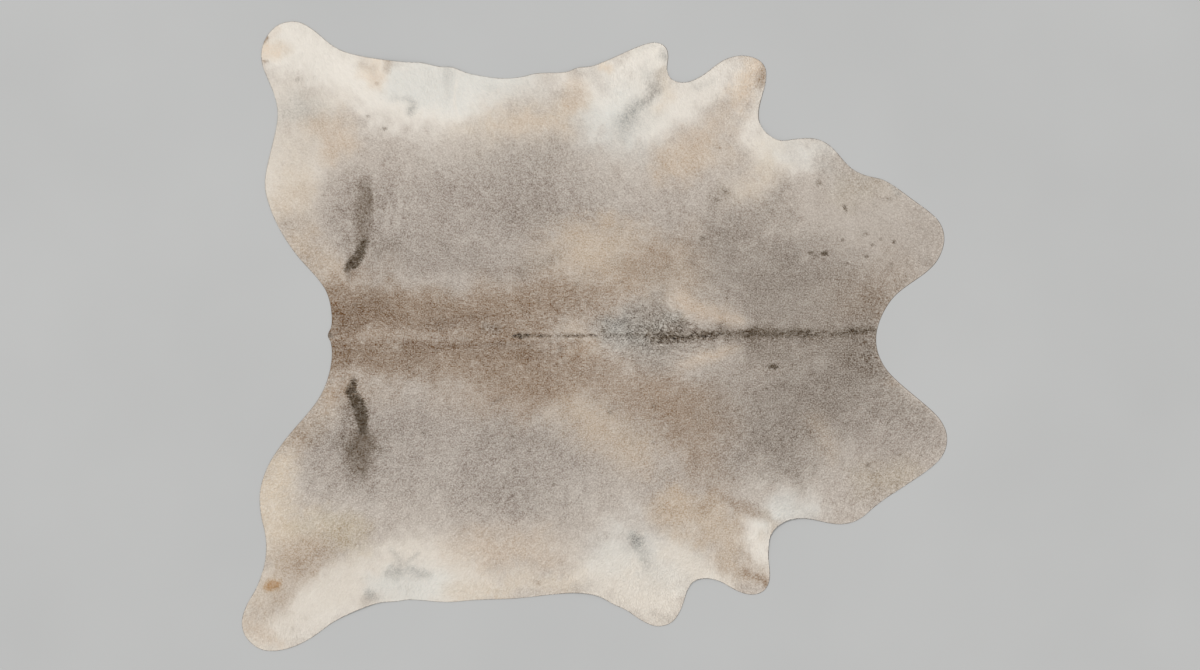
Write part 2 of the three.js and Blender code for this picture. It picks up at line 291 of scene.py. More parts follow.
DETAIL_MARKS = (
    Mark("shoulder, pale spot left of the spine", "buff", 0.4, 11, 14, ((284, 50), (292, 64))),
    Mark("right rump, paler spot", "rust", 0.16, 15, 16, ((-804, -182), (-790, -168))),
    Mark("right elbow, paler spot", "cream", 0.2, 15, 18, ((544, -480), (558, -464))),
    Mark("whorl", "slate", 0.75, (45, 62, 55), 42, ((60, 30), (150, 14), (240, 20))),
    Mark("whorl, dark hair", "dark", (0.15, 0.32, 0.38), (30, 52, 32), 50, ((100, 20), (190, 34), (275, 20))),
    Mark("whorl, upper rim", "umber", 0.35, (22, 26), 30, ((130, 85), (230, 90))),
    Mark("whorl, right side", "taupe", (0.4, 0.65, 0.3), (30, 38, 20), 46,
         ((130, -60), (230, -80), (300, -60))),
    Mark("cream patch, left of the withers", "tan", 0.75, (22, 32, 26, 14), 34,
         ((250, 120), (320, 92), (400, 66), (460, 50))),
    Mark("cream patch, right of the withers", "tan", (0.5, 0.7, 0.7, 0.4), (10, 18, 18, 12), 26,
         ((470, -40), (400, -56), (330, -80), (270, -100))),
    Mark("whorl, upper arm", "taupe", 0.6, (20, 30, 22), 40, ((120, 50), (190, 90), (215, 125))),
    Mark("spine, soft edge", "umber", (0.7, 0.9, 0.85, 0.9, 0.85, 0.8, 0.8), (28, 34, 18, 28, 26, 20, 30), 34,
         ((200, -6), (280, -8), (400, -2), (500, -4), (600, 12), (720, 10), (930, 0))),
    Mark("spine, over the loin", "dark", (0.5, 0.9, 0.45, 0.4, 0.45, 0.3, 0.2, 0.35),
         (5, 7, 3, 4, 5, 5, 5, 8), 7,
         ((-262, 1), (-235, 2), (-200, 3), (-130, 3), (-40, 2), (40, 4), (110, 4), (190, 0))),
    Mark("loin tuft above the spine", "dark", 0.4, (6, 7), 8, ((25, 20), (34, 26))),
    # Umber lines along the loin folds beside the spine: painted shade in the folds.
    Mark("loin fold, right of the spine", "umber", 0.3, (5, 6), 8, ((-350, -27), (-200, -27))),
    Mark("loin fold, left of the spine", "umber", 0.4, (10, 12), 14, ((-350, 30), (-305, 28))),
    Mark("spine, over the withers", "dark", (0.4, 0.85, 0.75, 0.7, 0.35, 0.8), (12, 13, 9, 7, 6, 11), 15,
         ((190, -4), (240, -6), (330, 0), (410, 4), (452, 4), (510, 6))),
    Mark("withers, shade right of the spine", "umber", 0.7, (10, 15, 10), 16,
         ((474, -26), (508, -32), (548, -36))),
    Mark("spine, along the neck", "dark", (0.9, 0.65, 0.8, 0.75, 0.5, 0.75), (12, 8, 11, 11, 6, 8), 13,
         ((490, 4), (570, 6), (605, 14), (690, 16), (735, 12), (930, 12))),
    Mark("tail stub", "dark", 0.9, (8, 5), 6, ((-872, 2), (-856, 2))),
    Mark("left thigh crescent, shade", "umber", (0.4, 0.5, 0.35), (24, 45, 40), 50,
         ((-790, 240), (-765, 340), (-760, 440))),
    Mark("left thigh crescent, soft", "smoke", (0.8, 0.42, 0.42, 0.5, 0.4, 0.0), (12, 20, 30, 30, 22, 12), 20,
         ((-750, 306), (-757, 345), (-762, 395), (-752, 440), (-748, 490), (-750, 530))),
    Mark("left thigh crescent, fore line", "smoke", (0.3, 0.5, 0.3), (5, 7, 5), 10,
         ((-735, 400), (-729, 440), (-733, 480))),
    Mark("left thigh crescent, spur", "smoke", (0.6, 0.2), (9, 6), 10, ((-802, 215), (-796, 188))),
    Mark("left thigh crescent", "dark", (0.95, 1.0, 1.0, 0.9), (9, 15, 19, 12), 8,
         ((-808, 217), (-790, 234), (-766, 260), (-750, 304))),
    Mark("left thigh, pale stripe", "cream", 0.25, 4, 7, ((-718, 425), (-716, 520))),
    Mark("left thigh, second pale stripe", "cream", 0.28, 4, 7, ((-640, 335), (-636, 400), (-638, 470))),
    Mark("left thigh, third pale stripe", "cream", 0.15, 4, 7, ((-676, 340), (-672, 440))),
    Mark("right thigh crescent, shade", "umber", (0.5, 0.65, 0.5), (35, 60, 48), 55,
         ((-780, -230), (-765, -340), (-770, -420))),
    Mark("right thigh crescent, soft", "smoke", (1.0, 0.85, 0.7, 0.6, 0.35, 0.0),
         (18, 30, 38, 36, 26, 14), 20,
         ((-755, -295), (-757, -330), (-762, -365), (-764, -405), (-760, -440), (-764, -475))),
    Mark("right thigh crescent, lower line", "smoke", (0.3, 0.5, 0.3), (6, 8, 6), 10,
         ((-748, -400), (-750, -430), (-754, -450))),
    Mark("right thigh crescent", "dark", (0.9, 1.0, 1.0, 1.0, 0.9), (10, 17, 22, 20, 16), 9,
         ((-784, -154), (-790, -182), (-770, -214), (-759, -250), (-755, -304))),
    Mark("right thigh crescent, tuft", "dark", (0.25, 0.12), (12, 10), 14, ((-790, -360), (-840, -352))),
    Mark("right thigh crescent, fore tuft", "dark", (0.35, 0.3), (10, 8), 12, ((-730, -350), (-696, -372))),
    Mark("left foreleg tip", "warm_brown", 0.45, (10, 12, 10), 20, ((549, 872), (542, 850), (544, 825))),
    Mark("left foreleg tip, dark", "brown", 0.4, (6, 7), 12, ((553, 866), (544, 845))),
    # Brown along the ripple of the skin over the right foreleg: painted shade of the ripple.
    Mark("right foreleg ridge", "brown", (0.2, 0.5, 0.45, 0.2), (10, 15, 13, 10), 20,
         ((385, -517), (480, -548), (560, -585), (604, -612))),
    Mark("right elbow flap, end", "taupe", 0.25, (14, 12), 20, ((204, -900), (240, -925))),
    Mark("left foreleg, grey front", "slate", 0.45, (10, 16), 18, ((542, 760), (540, 725))),
    Mark("left foreleg, cream middle", "cream", (0.4, 0.4, 0.2), (18, 24, 22), 30,
         ((515, 690), (480, 640), (440, 610))),
    Mark("left foreleg, tan end", "tan", 0.45, (12, 14), 18, ((522, 888), (530, 862))),
    # Cool grey in the notch between the elbow flap and the foreleg: painted shade in the notch.
    Mark("notch of the left elbow, grey", "slate", (0.15, 0.25, 0.15), (7, 9, 7), 14,
         ((305, 842), (345, 812), (388, 838))),
    Mark("right groin dark bit", "taupe", 0.4, (14, 14), 20, ((-738, -856), (-712, -842))),
    # Cool grey along the skin creases of the right groin: painted shade in the creases.
    Mark("right groin star, fore wing", "slate", 0.3, (8, 9, 6), 16,
         ((-625, -768), (-585, -776), (-535, -776))),
    Mark("right foreleg tip", "warm_brown", 0.6, (18, 22, 20), 26, ((505, -765), (535, -785), (548, -808))),
    Mark("right foreleg tip, dark", "brown", 0.5, (9, 12), 12, ((532, -782), (556, -806))),
    Mark("left foreleg spot", "brown", 0.6, 6, 6, ((403, 615), (406, 613))),
    Mark("left hind toe", "peach", (1.0, 0.85), (22, 18), 22, ((-1072, 945), (-1045, 925))),
    Mark("left hind toe nick", "brown", 0.9, 4, 4, ((-1078, 955), (-1064, 972))),
    # A thin brown line in the toe's crease: painted shade in the crease.
    Mark("left hind toe crease", "brown", 0.6, 3, 4, ((-1082, 897), (-1062, 896))),
    Mark("left groin peach spot", "peach", (0.8, 0.75), (36, 30), 30, ((-725, 870), (-706, 835))),
    Mark("left groin peach spot, deeper", "tan", 0.25, (10, 12), 20, ((-712, 850), (-706, 822))),
    Mark("left groin dark bit", "warm_brown", 0.45, (13, 12), 14, ((-672, 890), (-674, 868))),
    # Cool grey along the creases by the left teats: painted shade in the creases.
    Mark("left teat mark", "slate", (0.2, 0.3, 0.4, 0.6), (5, 8, 10, 9), 14,
         ((-650, 778), (-615, 782), (-592, 762), (-602, 728))),
    Mark("left belly grey streak", "slate", (0.28, 0.12), (16, 20), 24, ((-484, 860), (-492, 790))),
    Mark("left groin, grey top", "taupe", 0.2, (14, 12), 16, ((-752, 888), (-722, 872))),
    Mark("left belly white line", "cream", 0.7, 5, 5, ((-448, 830), (-455, 760), (-440, 700))),
    Mark("left elbow streak", "slate", (0.2, 0.42, 0.45, 0.62, 0.3), (12, 18, 18, 24, 20), 24,
         ((232, 868), (198, 820), (165, 765), (120, 705), (88, 668))),
    Mark("left elbow streak, brown rise", "taupe", (0.3, 0.45, 0.25), (12, 16, 12), 20,
         ((214, 850), (194, 815), (172, 780))),
    Mark("left elbow tan", "buff", 0.5, (18, 22, 18), 28, ((225, 850), (240, 790), (215, 760))),
    Mark("yellow bit", "peach", 0.9, 14, 14, ((22, 872), (42, 864))),
    Mark("right hind rust spot", "rust", 0.85, (14, 19, 12), 12,
         ((-1060, -818), (-1046, -812), (-1034, -810))),
    # The star of the right groin: cool grey along its skin creases, painted shade in the creases.
    Mark("right groin star", "slate", (0.3, 0.35, 0.3), (6, 10, 26), 14,
         ((-655, -700), (-630, -730), (-650, -768))),
    Mark("right groin star, arm", "slate", (0.3, 0.35, 0.25), (12, 9, 8), 14,
         ((-680, -768), (-600, -760), (-530, -772))),
    Mark("right groin star, upper arm", "slate", 0.35, (6, 6), 10, ((-620, -745), (-580, -712))),
    Mark("right groin grey bit", "slate", 0.4, (14, 12), 14, ((-735, -835), (-722, -850))),
    Mark("right elbow spot", "slate", (1.0, 0.55, 0.25), (17, 13, 14), 20,
         ((142, -655), (152, -690), (165, -745))),
    Mark("right belly dark bit", "brown", 0.4, 6, 6, ((-192, -800), (-180, -806))),
    # A darker line in the shoulder crease: painted shade in the crease.
    Mark("right shoulder crease", "warm_brown", 0.5, (8, 10, 8), 16, ((420, -528), (470, -555), (520, -585))),
    Mark("left flank scratch", "taupe", 0.4, (5, 6, 4), 7, ((-505, 318), (-480, 290), (-448, 255))),
    Mark("right flank scratch", "taupe", (0.6, 0.5, 0.25), (5, 4, 3), 7,
         ((-334, -219), (-312, -207), (-268, -183))),
    Mark("pale scratch before the withers", "cream", 0.22, 3, 5, ((455, 265), (520, 300), (580, 345))),
)

# Broad faint clouds where the coat is a little paler or darker than around it. Many are corrections,
# set where the built coat was paler or darker than in the photograph. Many are corrections, set
# where a comparison of renders with the photograph showed a difference.
CLOUD_MARKS = (
    Mark("left flank, pale by the belly", "cream", (0.17, 0.13, 0.16), (60, 65, 60), 60,
         ((-520, 590), (-350, 605), (-190, 600))),
    Mark("left flank, pale behind the elbow", "cream", 0.15, 55, 60, ((0, 500), (110, 500))),
    Mark("left shoulder, pale", "cream", 0.1, 50, 60, ((500, 500), (610, 505))),
    Mark("left foreleg, pale", "cream", 0.2, 34, 44, ((405, 710), (495, 695))),
    Mark("left hock, paler", "cream", 0.25, 45, 50, ((-1010, 805), (-985, 760))),
    Mark("left cheek, pale", "cream", (0.12, 0.14, 0.1), 60, 70, ((800, 400), (900, 395), (1000, 380))),
    Mark("left thigh rim, darker", "honey", 0.35, 35, 45, ((-1005, 430), (-1000, 370))),
    Mark("left withers, darker", "umber", (0.2, 0.2), 40, 50, ((205, 205), (305, 190))),
    Mark("croup, brown line right of the spine", "deep_brown", (0.3, 0.6, 0.65, 0.6, 0.3),
         (6, 9, 10, 8, 5), 12,
         ((-640, -26), (-560, -27), (-430, -30), (-320, -28), (-210, -26))),
    Mark("croup, brown line left of the spine", "deep_brown", (0.3, 0.55, 0.4), (8, 12, 10), 14,
         ((-600, 36), (-520, 32), (-445, 30))),
    Mark("croup, second brown line", "deep_brown", 0.4, (7, 9), 12, ((-450, 64), (-380, 66))),
    Mark("loin, brown spot left of the spine", "umber", 0.45, (12, 14), 20, ((-350, 34), (-318, 14))),
    Mark("croup, darker on the spine", "brown", 0.16, 24, 34, ((-700, 0), (-400, 0))),
    Mark("tail root, right side", "deep_brown", 0.35, 28, 36, ((-805, -100), (-795, -95))),
    Mark("withers, darker on the spine", "umber", 0.2, 26, 40, ((480, -4), (520, 0))),
    Mark("neck end, darker on the spine", "umber", 0.22, 34, 44, ((790, -8), (915, -8))),
    Mark("neck, pale left of the spine", "cream", (0.08, 0.13, 0.12), 40, 46,
         ((600, 105), (700, 100), (810, 98))),
    Mark("neck, pale right of the spine", "cream", 0.16, 38, 46, ((680, -100), (725, -96))),
    Mark("right shoulder, pale", "cream", (0.17, 0.13), 32, 44, ((695, -390), (705, -500))),
    Mark("right shoulder, pale behind", "cream", (0.14, 0.24), 32, 44, ((490, -515), (545, -472))),
    Mark("right flank, pale band", "cream", (0.13, 0.1, 0.14, 0.22), 48, 54,
         ((-500, -400), (-500, -500), (-505, -600), (-500, -700))),
    Mark("right thigh, pale", "cream", (0.14, 0.2, 0.2), 48, 54, ((-700, -505), (-800, -590), (-905, -600))),
    Mark("right flank, pale by the elbow", "cream", (0.1, 0.15, 0.12, 0.1), 52, 54,
         ((-200, -510), (-40, -505), (30, -590), (160, -600))),
    Mark("right belly, pale", "cream", (0.12, 0.16), 44, 50, ((-200, -700), (-95, -695))),
    Mark("right hock, pale", "cream", (0.3, 0.2), 40, 46, ((-1000, -805), (-900, -890))),
    Mark("right foreleg, darker", "brown", (0.3, 0.35, 0.3), 14, 20, ((480, -690), (520, -722), (554, -748))),
    Mark("right foreleg, front tan", "honey", 0.3, 12, 18, ((540, -630), (542, -650))),
    Mark("left groin, grey by the bit", "grey", 0.25, 12, 18, ((-655, 890), (-645, 884))),
    Mark("withers, grey left of the spine", "umber", 0.2, 24, 34, ((60, 252), (76, 253))),
    Mark("left hind toe, rear rim", "tan", (0.4, 0.35, 0.3), 10, 14,
         ((-1080, 900), (-1076, 955), (-1034, 1006))),
    Mark("neck, dark on the spine", "umber", 0.35, 12, 18, ((755, 14), (790, 14))),
    Mark("right thigh rim, brown", "brown", 0.2, 20, 28, ((-968, -292), (-952, -304))),
    Mark("right withers, dark spot", "umber", 0.2, 18, 26, ((470, -122), (480, -124))),
    Mark("right rump, brown patch", "brown", 0.32, 24, 34, ((-665, -129), (-630, -130))),
    Mark("left foreleg, front shade", "grey", 0.22, 14, 22, ((528, 668), (538, 664))),
    Mark("left thigh rim, brown", "warm_brown", 0.22, 18, 26, ((-922, 336), (-906, 342))),
    Mark("left neck, second dark cloud", "umber", 0.2, 20, 28, ((556, 360), (570, 364))),
    Mark("right loin, dark cloud", "umber", 0.2, 22, 30, ((44, -224), (60, -226))),
    Mark("right shoulder, dark cloud", "umber", 0.2, 22, 30, ((474, -338), (492, -341))),
    Mark("left cheek, dark cloud", "umber", 0.2, 20, 28, ((1010, 180), (1022, 178))),
    Mark("left neck, brown cloud", "umber", 0.2, 20, 28, ((818, 252), (832, 252))),
    Mark("right cheek, brown cloud", "warm_brown", 0.35, 20, 28, ((964, -144), (976, -145))),
    Mark("right cheek, second dark cloud", "umber", 0.2, 20, 28, ((770, -396), (784, -397))),
    Mark("right thigh rim, grey", "grey", 0.3, 18, 24, ((-1034, -378), (-1022, -384))),
    Mark("left elbow flap, top", "slate", 0.14, 16, 22, ((150, 938), (170, 940))),
    Mark("left withers, dark cloud", "umber", 0.18, 24, 32, ((244, 320), (256, 321))),
    Mark("withers, left brown", "umber", 0.2, 22, 30, ((346, 137), (360, 138))),
    Mark("tail root, right brown", "deep_brown", 0.25, 16, 22, ((-780, -90), (-768, -92))),
    Mark("left cheek rim, cooler", "slate", 0.16, 34, 44, ((745, 560), (800, 510), (880, 478))),
    Mark("right shoulder, pale patch", "cream", 0.18, 20, 28, ((657, -480), (673, -480))),
    Mark("right hind foot, pale end", "ivory", 0.5, 14, 20, ((-1124, -880), (-1112, -888))),
    Mark("left rump, pale cloud", "cream", 0.16, 22, 30, ((-518, 130), (-498, 131))),
    Mark("left loin, pale cloud", "cream", 0.14, 22, 30, ((-43, 172), (-27, 173))),
    Mark("withers, pale left of the spine", "cream", 0.16, 16, 24, ((276, 52), (300, 50))),
    Mark("right belly, pale by the elbow", "cream", 0.3, 18, 26, ((-74, -708), (-58, -708))),
    Mark("right thigh, buff by the rim", "buff", 0.4, 20, 28, ((-920, -552), (-900, -552))),
    Mark("left rump, pale edge", "tan", 0.24, 16, 22, ((-858, 116), (-842, 115))),
    Mark("neck, pale by the spine, left", "cream", 0.14, 12, 18, ((520, 38), (552, 36))),
    Mark("neck, pale by the spine, right", "cream", 0.13, 14, 20, ((566, -78), (590, -82))),
    Mark("neck, pale under the spine", "cream", 0.13, 14, 20, ((668, -30), (694, -31))),
    Mark("right flank, pale cloud", "cream", 0.13, 22, 30, ((-655, -422), (-635, -422))),
    Mark("right thigh, pale cloud", "tan", 0.25, 18, 26, ((-878, -190), (-862, -191))),
    Mark("left loin, second pale cloud", "cream", 0.12, 22, 30, ((-388, 145), (-368, 146))),
    Mark("left elbow flap, rear", "grey", (0.5, 0.28, 0.2), (14, 20, 24), 24,
         ((-66, 868), (-9, 866), (12, 812))),
    Mark("right belly, grey end", "grey", (0.25, 0.5, 0.25), (16, 20, 16), 26,
         ((-95, -836), (-47, -826), (0, -822))),
    Mark("left neck, dark cloud", "taupe", (0.3, 0.45, 0.38), (26, 30, 26), 34,
         ((575, 385), (612, 430), (648, 390))),
    Mark("left shoulder rim, greyer", "grey", (0.22, 0.2), (20, 22), 28, ((633, 634), (660, 572))),
    Mark("right shoulder rim, greyer", "grey", (0.25, 0.2, 0.35), (20, 16, 16), 26,
         ((612, -537), (660, -556), (707, -575))),
    Mark("right cheek, dark cloud", "umber", (0.3, 0.42), (24, 28), 34, ((700, -330), (718, -348))),
    Mark("left thigh crescent, fore shade", "umber", (0.5, 0.42), (24, 26), 32, ((-715, 276), (-655, 290))),
    Mark("croup, brown band left of the spine", "deep_brown", (0.4, 0.6, 0.6, 0.3), (18, 20, 20, 16), 26,
         ((-530, 40), (-443, 42), (-390, 58), (-340, 70))),
    Mark("left thigh rim, rear", "grey", (0.6, 0.35), (18, 24), 28, ((-1014, 350), (-955, 368))),
    Mark("left thigh, tan by the rim", "honey", 0.5, 24, 34, ((-940, 470), (-935, 490))),
    Mark("left elbow flap, tip", "slate", 0.45, 12, 16, ((222, 914), (236, 905))),
    Mark("left foreleg tip, front", "brown", 0.35, 12, 14, ((538, 836), (541, 810))),
    Mark("left hind toe, fore", "buff", 0.5, 16, 20, ((-1030, 945), (-1010, 930))),
    Mark("tail root, middle", "deep_brown", 0.7, 12, 16, ((-862, 14), (-840, 14))),
    Mark("left flank, dark wedge", "taupe", (0.45, 0.38, 0.48), (22, 24, 24), 32,
         ((-237, 225), (-188, 250), (-134, 256))),
    Mark("left flank, darker by the backbone", "umber", 0.1, 46, 60, ((-700, 205), (-500, 290), (-270, 200))),
    Mark("left belly, greyer", "slate", 0.1, 36, 50, ((-300, 800), (-200, 800))),
    Mark("right groin, greyer", "slate", 0.1, 32, 46, ((-700, -800), (-600, -800))),
    Mark("left elbow flap, front grey", "slate", 0.18, 20, 28, ((165, 854), (185, 848))),
    Mark("left elbow, grey below the streak", "slate", (0.2, 0.14), 22, 30, ((168, 702), (222, 732))),
    Mark("right elbow flap, grey", "slate", (0.18, 0.14), 24, 34, ((172, -756), (205, -800))),
    Mark("left shoulder, dark cloud", "umber", 0.37, 26, 34, ((410, 445), (426, 455))),
    Mark("left cheek end, darker", "taupe", 0.42, 18, 26, ((1080, 240), (1094, 230))),
    Mark("withers, left tan edge", "warm_brown", 0.45, 24, 32, ((300, 168), (314, 176))),
    Mark("right foreleg, front rim", "honey", 0.45, 14, 18, ((572, -612), (576, -630))),
    Mark("whorl, lower rim", "umber", 0.42, 20, 28, ((112, -44), (146, -40))),
    Mark("right foreleg root, brown", "brown", 0.28, 26, 34, ((330, -560), (360, -572))),
    Mark("right hind foot, pale rim", "ivory", (0.55, 0.5, 0.45), (22, 26, 24), 28,
         ((-1064, -752), (-1090, -805), (-1108, -858))),
    Mark("right hind foot, pale middle", "ivory", 0.4, 16, 22, ((-1062, -848), (-1056, -866))),
    Mark("right elbow notch, cream rim", "cream", (0.35, 0.6, 0.3), (18, 18, 14), 22,
         ((372, -722), (384, -776), (437, -786))),
    Mark("right foreleg, cream wedge", "cream", (0.3, 0.4, 0.25), (24, 26, 18), 26,
         ((480, -612), (480, -650), (522, -705))),
    Mark("left neck, pale cloud", "cream", 0.14, 26, 34, ((526, 233), (546, 233))),
    Mark("right hind leg, cream rim", "cream", (0.45, 0.55, 0.45), (18, 22, 20), 26,
         ((-950, -965), (-881, -935), (-793, -886))),
    Mark("left elbow, white rear", "white", 0.5, 16, 20, ((70, 700), (60, 714))),
    Mark("loin, tan right of the spine", "tan", 0.35, 20, 28, ((-70, -46), (-25, -50))),
    Mark("right thigh rim, pale", "cream", 0.26, 24, 32, ((-965, -480), (-945, -472))),
    Mark("left elbow, cream below", "cream", 0.42, 24, 32, ((236, 652), (266, 650))),
    Mark("rump, pale left of the spine", "cream", 0.11, 36, 50, ((-800, 100), (-600, 100))),
    Mark("right thigh rim, darker", "umber", 0.22, 30, 40, ((-900, -300), (-885, -320))),
    Mark("right withers, darker", "umber", 0.13, 48, 56, ((120, -300), (410, -300))),
    Mark("withers, darker left of the spine", "umber", 0.2, 28, 36, ((395, 100), (410, 98))),
)

# Small dark tufts of hair, each a few millimetres across.
TUFT_MARKS = (
    Mark("left neck tuft", "dark", 0.9, (6, 8), 5, ((738, 268), (752, 269))),
    Mark("left neck tuft, second", "dark", 0.5, 5, 5, ((700, 271), (705, 271))),
    Mark("left neck tuft, third", "dark", 0.6, 4, 4, ((820, 237), (824, 238))),
    Mark("left neck tuft, fore", "dark", 0.35, 4, 5, ((962, 234), (966, 235))),
    Mark("left cheek tuft", "dark", 0.75, 4, 4, ((882, 258), (886, 259))),
    Mark("left cheek tuft, upper", "dark", 0.6, 4, 4, ((803, 313), (807, 314))),
    Mark("left cheek tuft, fore", "dark", 0.6, 3, 4, ((901, 297), (905, 298))),
    Mark("left cheek tuft, front", "dark", 0.55, 4, 4, ((971, 304), (975, 305))),
    Mark("left cheek tuft, small", "dark", 0.4, 3, 4, ((926, 313), (930, 314))),
    Mark("left cheek tuft, soft", "dark", 0.3, 5, 6, ((872, 330), (880, 334))),
    Mark("left cheek tuft, pair", "dark", 0.7, 4, 4, ((811, 423), (813, 418))),
    Mark("left cheek tuft, pair, lower", "dark", 0.45, 4, 4, ((815, 410), (817, 407))),
    Mark("left cheek tuft, high", "dark", 0.35, 5, 7, ((954, 446), (960, 448))),
    Mark("left cheek rim tuft", "slate", 0.4, 7, 9, ((960, 488), (985, 462))),
    Mark("left shoulder tuft", "dark", 0.5, (6, 5), 6, ((724, 497), (731, 500))),
    Mark("left shoulder tuft, lower", "dark", 0.4, (7, 6), 8, ((398, 440), (404, 440))),
    Mark("left shoulder tuft, fore", "dark", 0.4, (7, 6), 8, ((428, 470), (433, 470))),
    Mark("left withers tuft", "dark", 0.35, 6, 8, ((348, 320), (353, 321))),
    Mark("right withers tuft", "dark", 0.85, (7, 6), 7, ((570, -98), (588, -101))),
    Mark("right cheek tuft", "dark", 0.35, 4, 5, ((988, -385), (992, -385))),
    Mark("right cheek tuft, rear", "dark", 0.35, 4, 5, ((883, -420), (887, -420))),
    Mark("right flank tuft", "dark", 0.35, 5, 6, ((43, -245), (48, -246))),
    Mark("left hock tuft", "dark", 0.3, 4, 5, ((-966, 834), (-962, 837))),
    Mark("left groin tuft", "dark", 0.35, 5, 5, ((-684, 674), (-680, 676))),
    Mark("left groin tuft, tan", "brown", 0.4, 4, 5, ((-708, 821), (-704, 821))),
    Mark("left belly tuft", "dark", 0.2, 4, 5, ((-734, 711), (-731, 712))),
)

MARKS = PALE_MARKS + BODY_MARKS + BACK_MARKS + NECK_MARKS + CLOUD_MARKS + DETAIL_MARKS + TUFT_MARKS

# Scattered specks of dark hair: one to a cell, weaker ones left out, and only on the darker coat.
SPECK_CELL = 46
SPECK_TABLE = 127
SPECK_SEED = 51
SPECK_RADIUS = (2.2, 5.0)
SPECK_STRENGTH = (-1.6, 1.0)
SPECK_SHARE = 0.3
PALE_HAIR = 205.0
PALE_FADE = 40.0

# Thin wandering lines where locks part, pale and dark, in patches of the coat.
CURL_SIZE = 34
CURL_WIDTH = 0.11
CURL_BEND = 7
CURL_BEND_SIZE = 16
CURL_PATCH_SIZE = 75
CURL_PATCH_GAIN = 0.9
CURL_PATCH_CUT = 0.1
PALE_CURLS = 0.2
PALE_CURL_SEED = 61
DARK_CURLS = 0.08
DARK_CURL_SEED = 71

# Soft random layers, each a strength, a size and a seed. Mottles are longer across the back.
CLOUD_TABLE = 257
CLOUD_START = (101.3, 97.7)
CLOUD_GAIN = 1.35
WANDER_X = ((10, 70, 11), (4, 22, 12), (1.6, 6, 13))
WANDER_Y = ((10, 70, 14), (4, 22, 15), (1.6, 6, 16))
STIPPLE = ((0.05, 30, 17), (0.04, 10, 18))
Mottle = namedtuple("Mottle", "strength size stretch seed")
MOTTLES = (Mottle(0.04, 15, 1.4, 31), Mottle(0.03, 42, 1.5, 32), Mottle(0.02, 130, 1.0, 33))

# A mark wanders the more, the softer its edge is, and in full from this feather on. It is only
# worked out for points near it: within its width, this many feathers and the reach of its wander.
FULL_WANDER_FEATHER = 40
FEATHERS_OUT = 1.6
WANDER_REACH = 40

# Places where the coat is tousled, so that its light and dark hairs show more.
Tousle = namedtuple("Tousle", "name strength half_width feather path")

TOUSLES = (
    Tousle("rump, loin and shoulders", (0.1, 0.11, 0.14, 0.13), (150, 180, 200, 150), 120,
           ((-780, 0), (-400, 0), (-60, 0), (290, 0))),
    Tousle("left flank", 0.06, (140, 160, 120), 120, ((-620, 420), (-200, 460), (250, 480))),
    Tousle("right flank", 0.06, (140, 160, 120), 120, ((-620, -420), (-200, -460), (250, -480))),
    Tousle("whorl", (0.02, 0.05, 0.04), (50, 75, 55), 50, ((70, 10), (180, 10), (300, 0))),
    Tousle("spine, over the withers and neck", (0.05, 0.08, 0.06), 20, 30, ((380, 4), (560, 4), (920, 12))),
)

# Fine tufts of the tousled places, and how far they break up the dark marks.
TUFT_SIZE = 4.5
TUFT_SEED = 41
TUFT_BREAK = 0.28


def soft_step(value):
    """Zero below 0, one above 1, with level ends."""
    value = np.clip(value, 0.0, 1.0)
    return value * value * (3.0 - 2.0 * value)


def clouds(x, y, cell, seed):
    """Random soft hills around zero, `cell` across, with a spread of about one."""
    size = CLOUD_TABLE
    heights = np.random.default_rng(seed).standard_normal((size, size)).astype(np.float32)
    u = x / cell + CLOUD_START[0]
    v = y / cell + CLOUD_START[1]
    column = np.floor(u).astype(np.int64)
    row = np.floor(v).astype(np.int64)
    across = soft_step(u - column)
    up = soft_step(v - row)
    left = column % size
    right = (column + 1) % size
    low = row % size
    high = (row + 1) % size
    bottom = heights[low, left] * (1 - across) + heights[low, right] * across
    top = heights[high, left] * (1 - across) + heights[high, right] * across
    return (bottom * (1 - up) + top * up) * CLOUD_GAIN


def layered_clouds(x, y, layers):
    """Several layers of soft hills added up, each given as a strength, a size and a seed."""
    return sum(strength * clouds(x, y, size, seed) for strength, size, seed in layers)


def per_point(value, path):
    """One number for each point of a path, from one number for all or one for each."""
    return np.broadcast_to(np.asarray(value, dtype=float), (len(path),))


def mark_weight(x, y, mark, stipple):
    """How strongly a mark covers each point, from 0 to its strength."""
    strengths = per_point(mark.strength, mark.path)
    widths = per_point(mark.half_width, mark.path)
    edge = np.full(x.shape, np.inf)
    strength = np.zeros(x.shape)
    for first in range(len(mark.path) - 1):
        (x0, y0), (x1, y1) = mark.path[first], mark.path[first + 1]
        along_x, along_y = x1 - x0, y1 - y0
        share = ((x - x0) * along_x + (y - y0) * along_y) / (along_x**2 + along_y**2)
        share = np.clip(share, 0.0, 1.0)
        gap = np.hypot(x - x0 - share * along_x, y - y0 - share * along_y)
        gap -= widths[first] + (widths[first + 1] - widths[first]) * share
        here = strengths[first] + (strengths[first + 1] - strengths[first]) * share
        nearer = gap < edge
        edge = np.where(nearer, gap, edge)
        strength = np.where(nearer, here, strength)
    return strength * soft_step(0.5 - 0.5 * edge / mark.feather + stipple)


def specks(x, y):
    """Scattered tiny dark tufts, as a share from 0 to 1."""
    size = SPECK_TABLE
    chance = np.random.default_rng(SPECK_SEED)
    place = chance.uniform(0.0, 1.0, (2, size, size))
    radius = chance.uniform(*SPECK_RADIUS, (size, size))
    strength = np.maximum(chance.uniform(*SPECK_STRENGTH, (size, size)), 0.0)
    column, row = np.floor(x / SPECK_CELL).astype(int), np.floor(y / SPECK_CELL).astype(int)
    total = np.zeros(x.shape)
    for step_x in (-1, 0, 1):
        for step_y in (-1, 0, 1):
            i, j = (column + step_x) % size, (row + step_y) % size
            gap_x = x / SPECK_CELL - column - step_x - place[0, i, j]
            gap_y = y / SPECK_CELL - row - step_y - place[1, i, j]
            gap = SPECK_CELL * np.hypot(gap_x, gap_y)
            total += strength[i, j] * np.exp(-0.5 * (gap / radius[i, j]) ** 2)
    return np.minimum(total, 1.0)


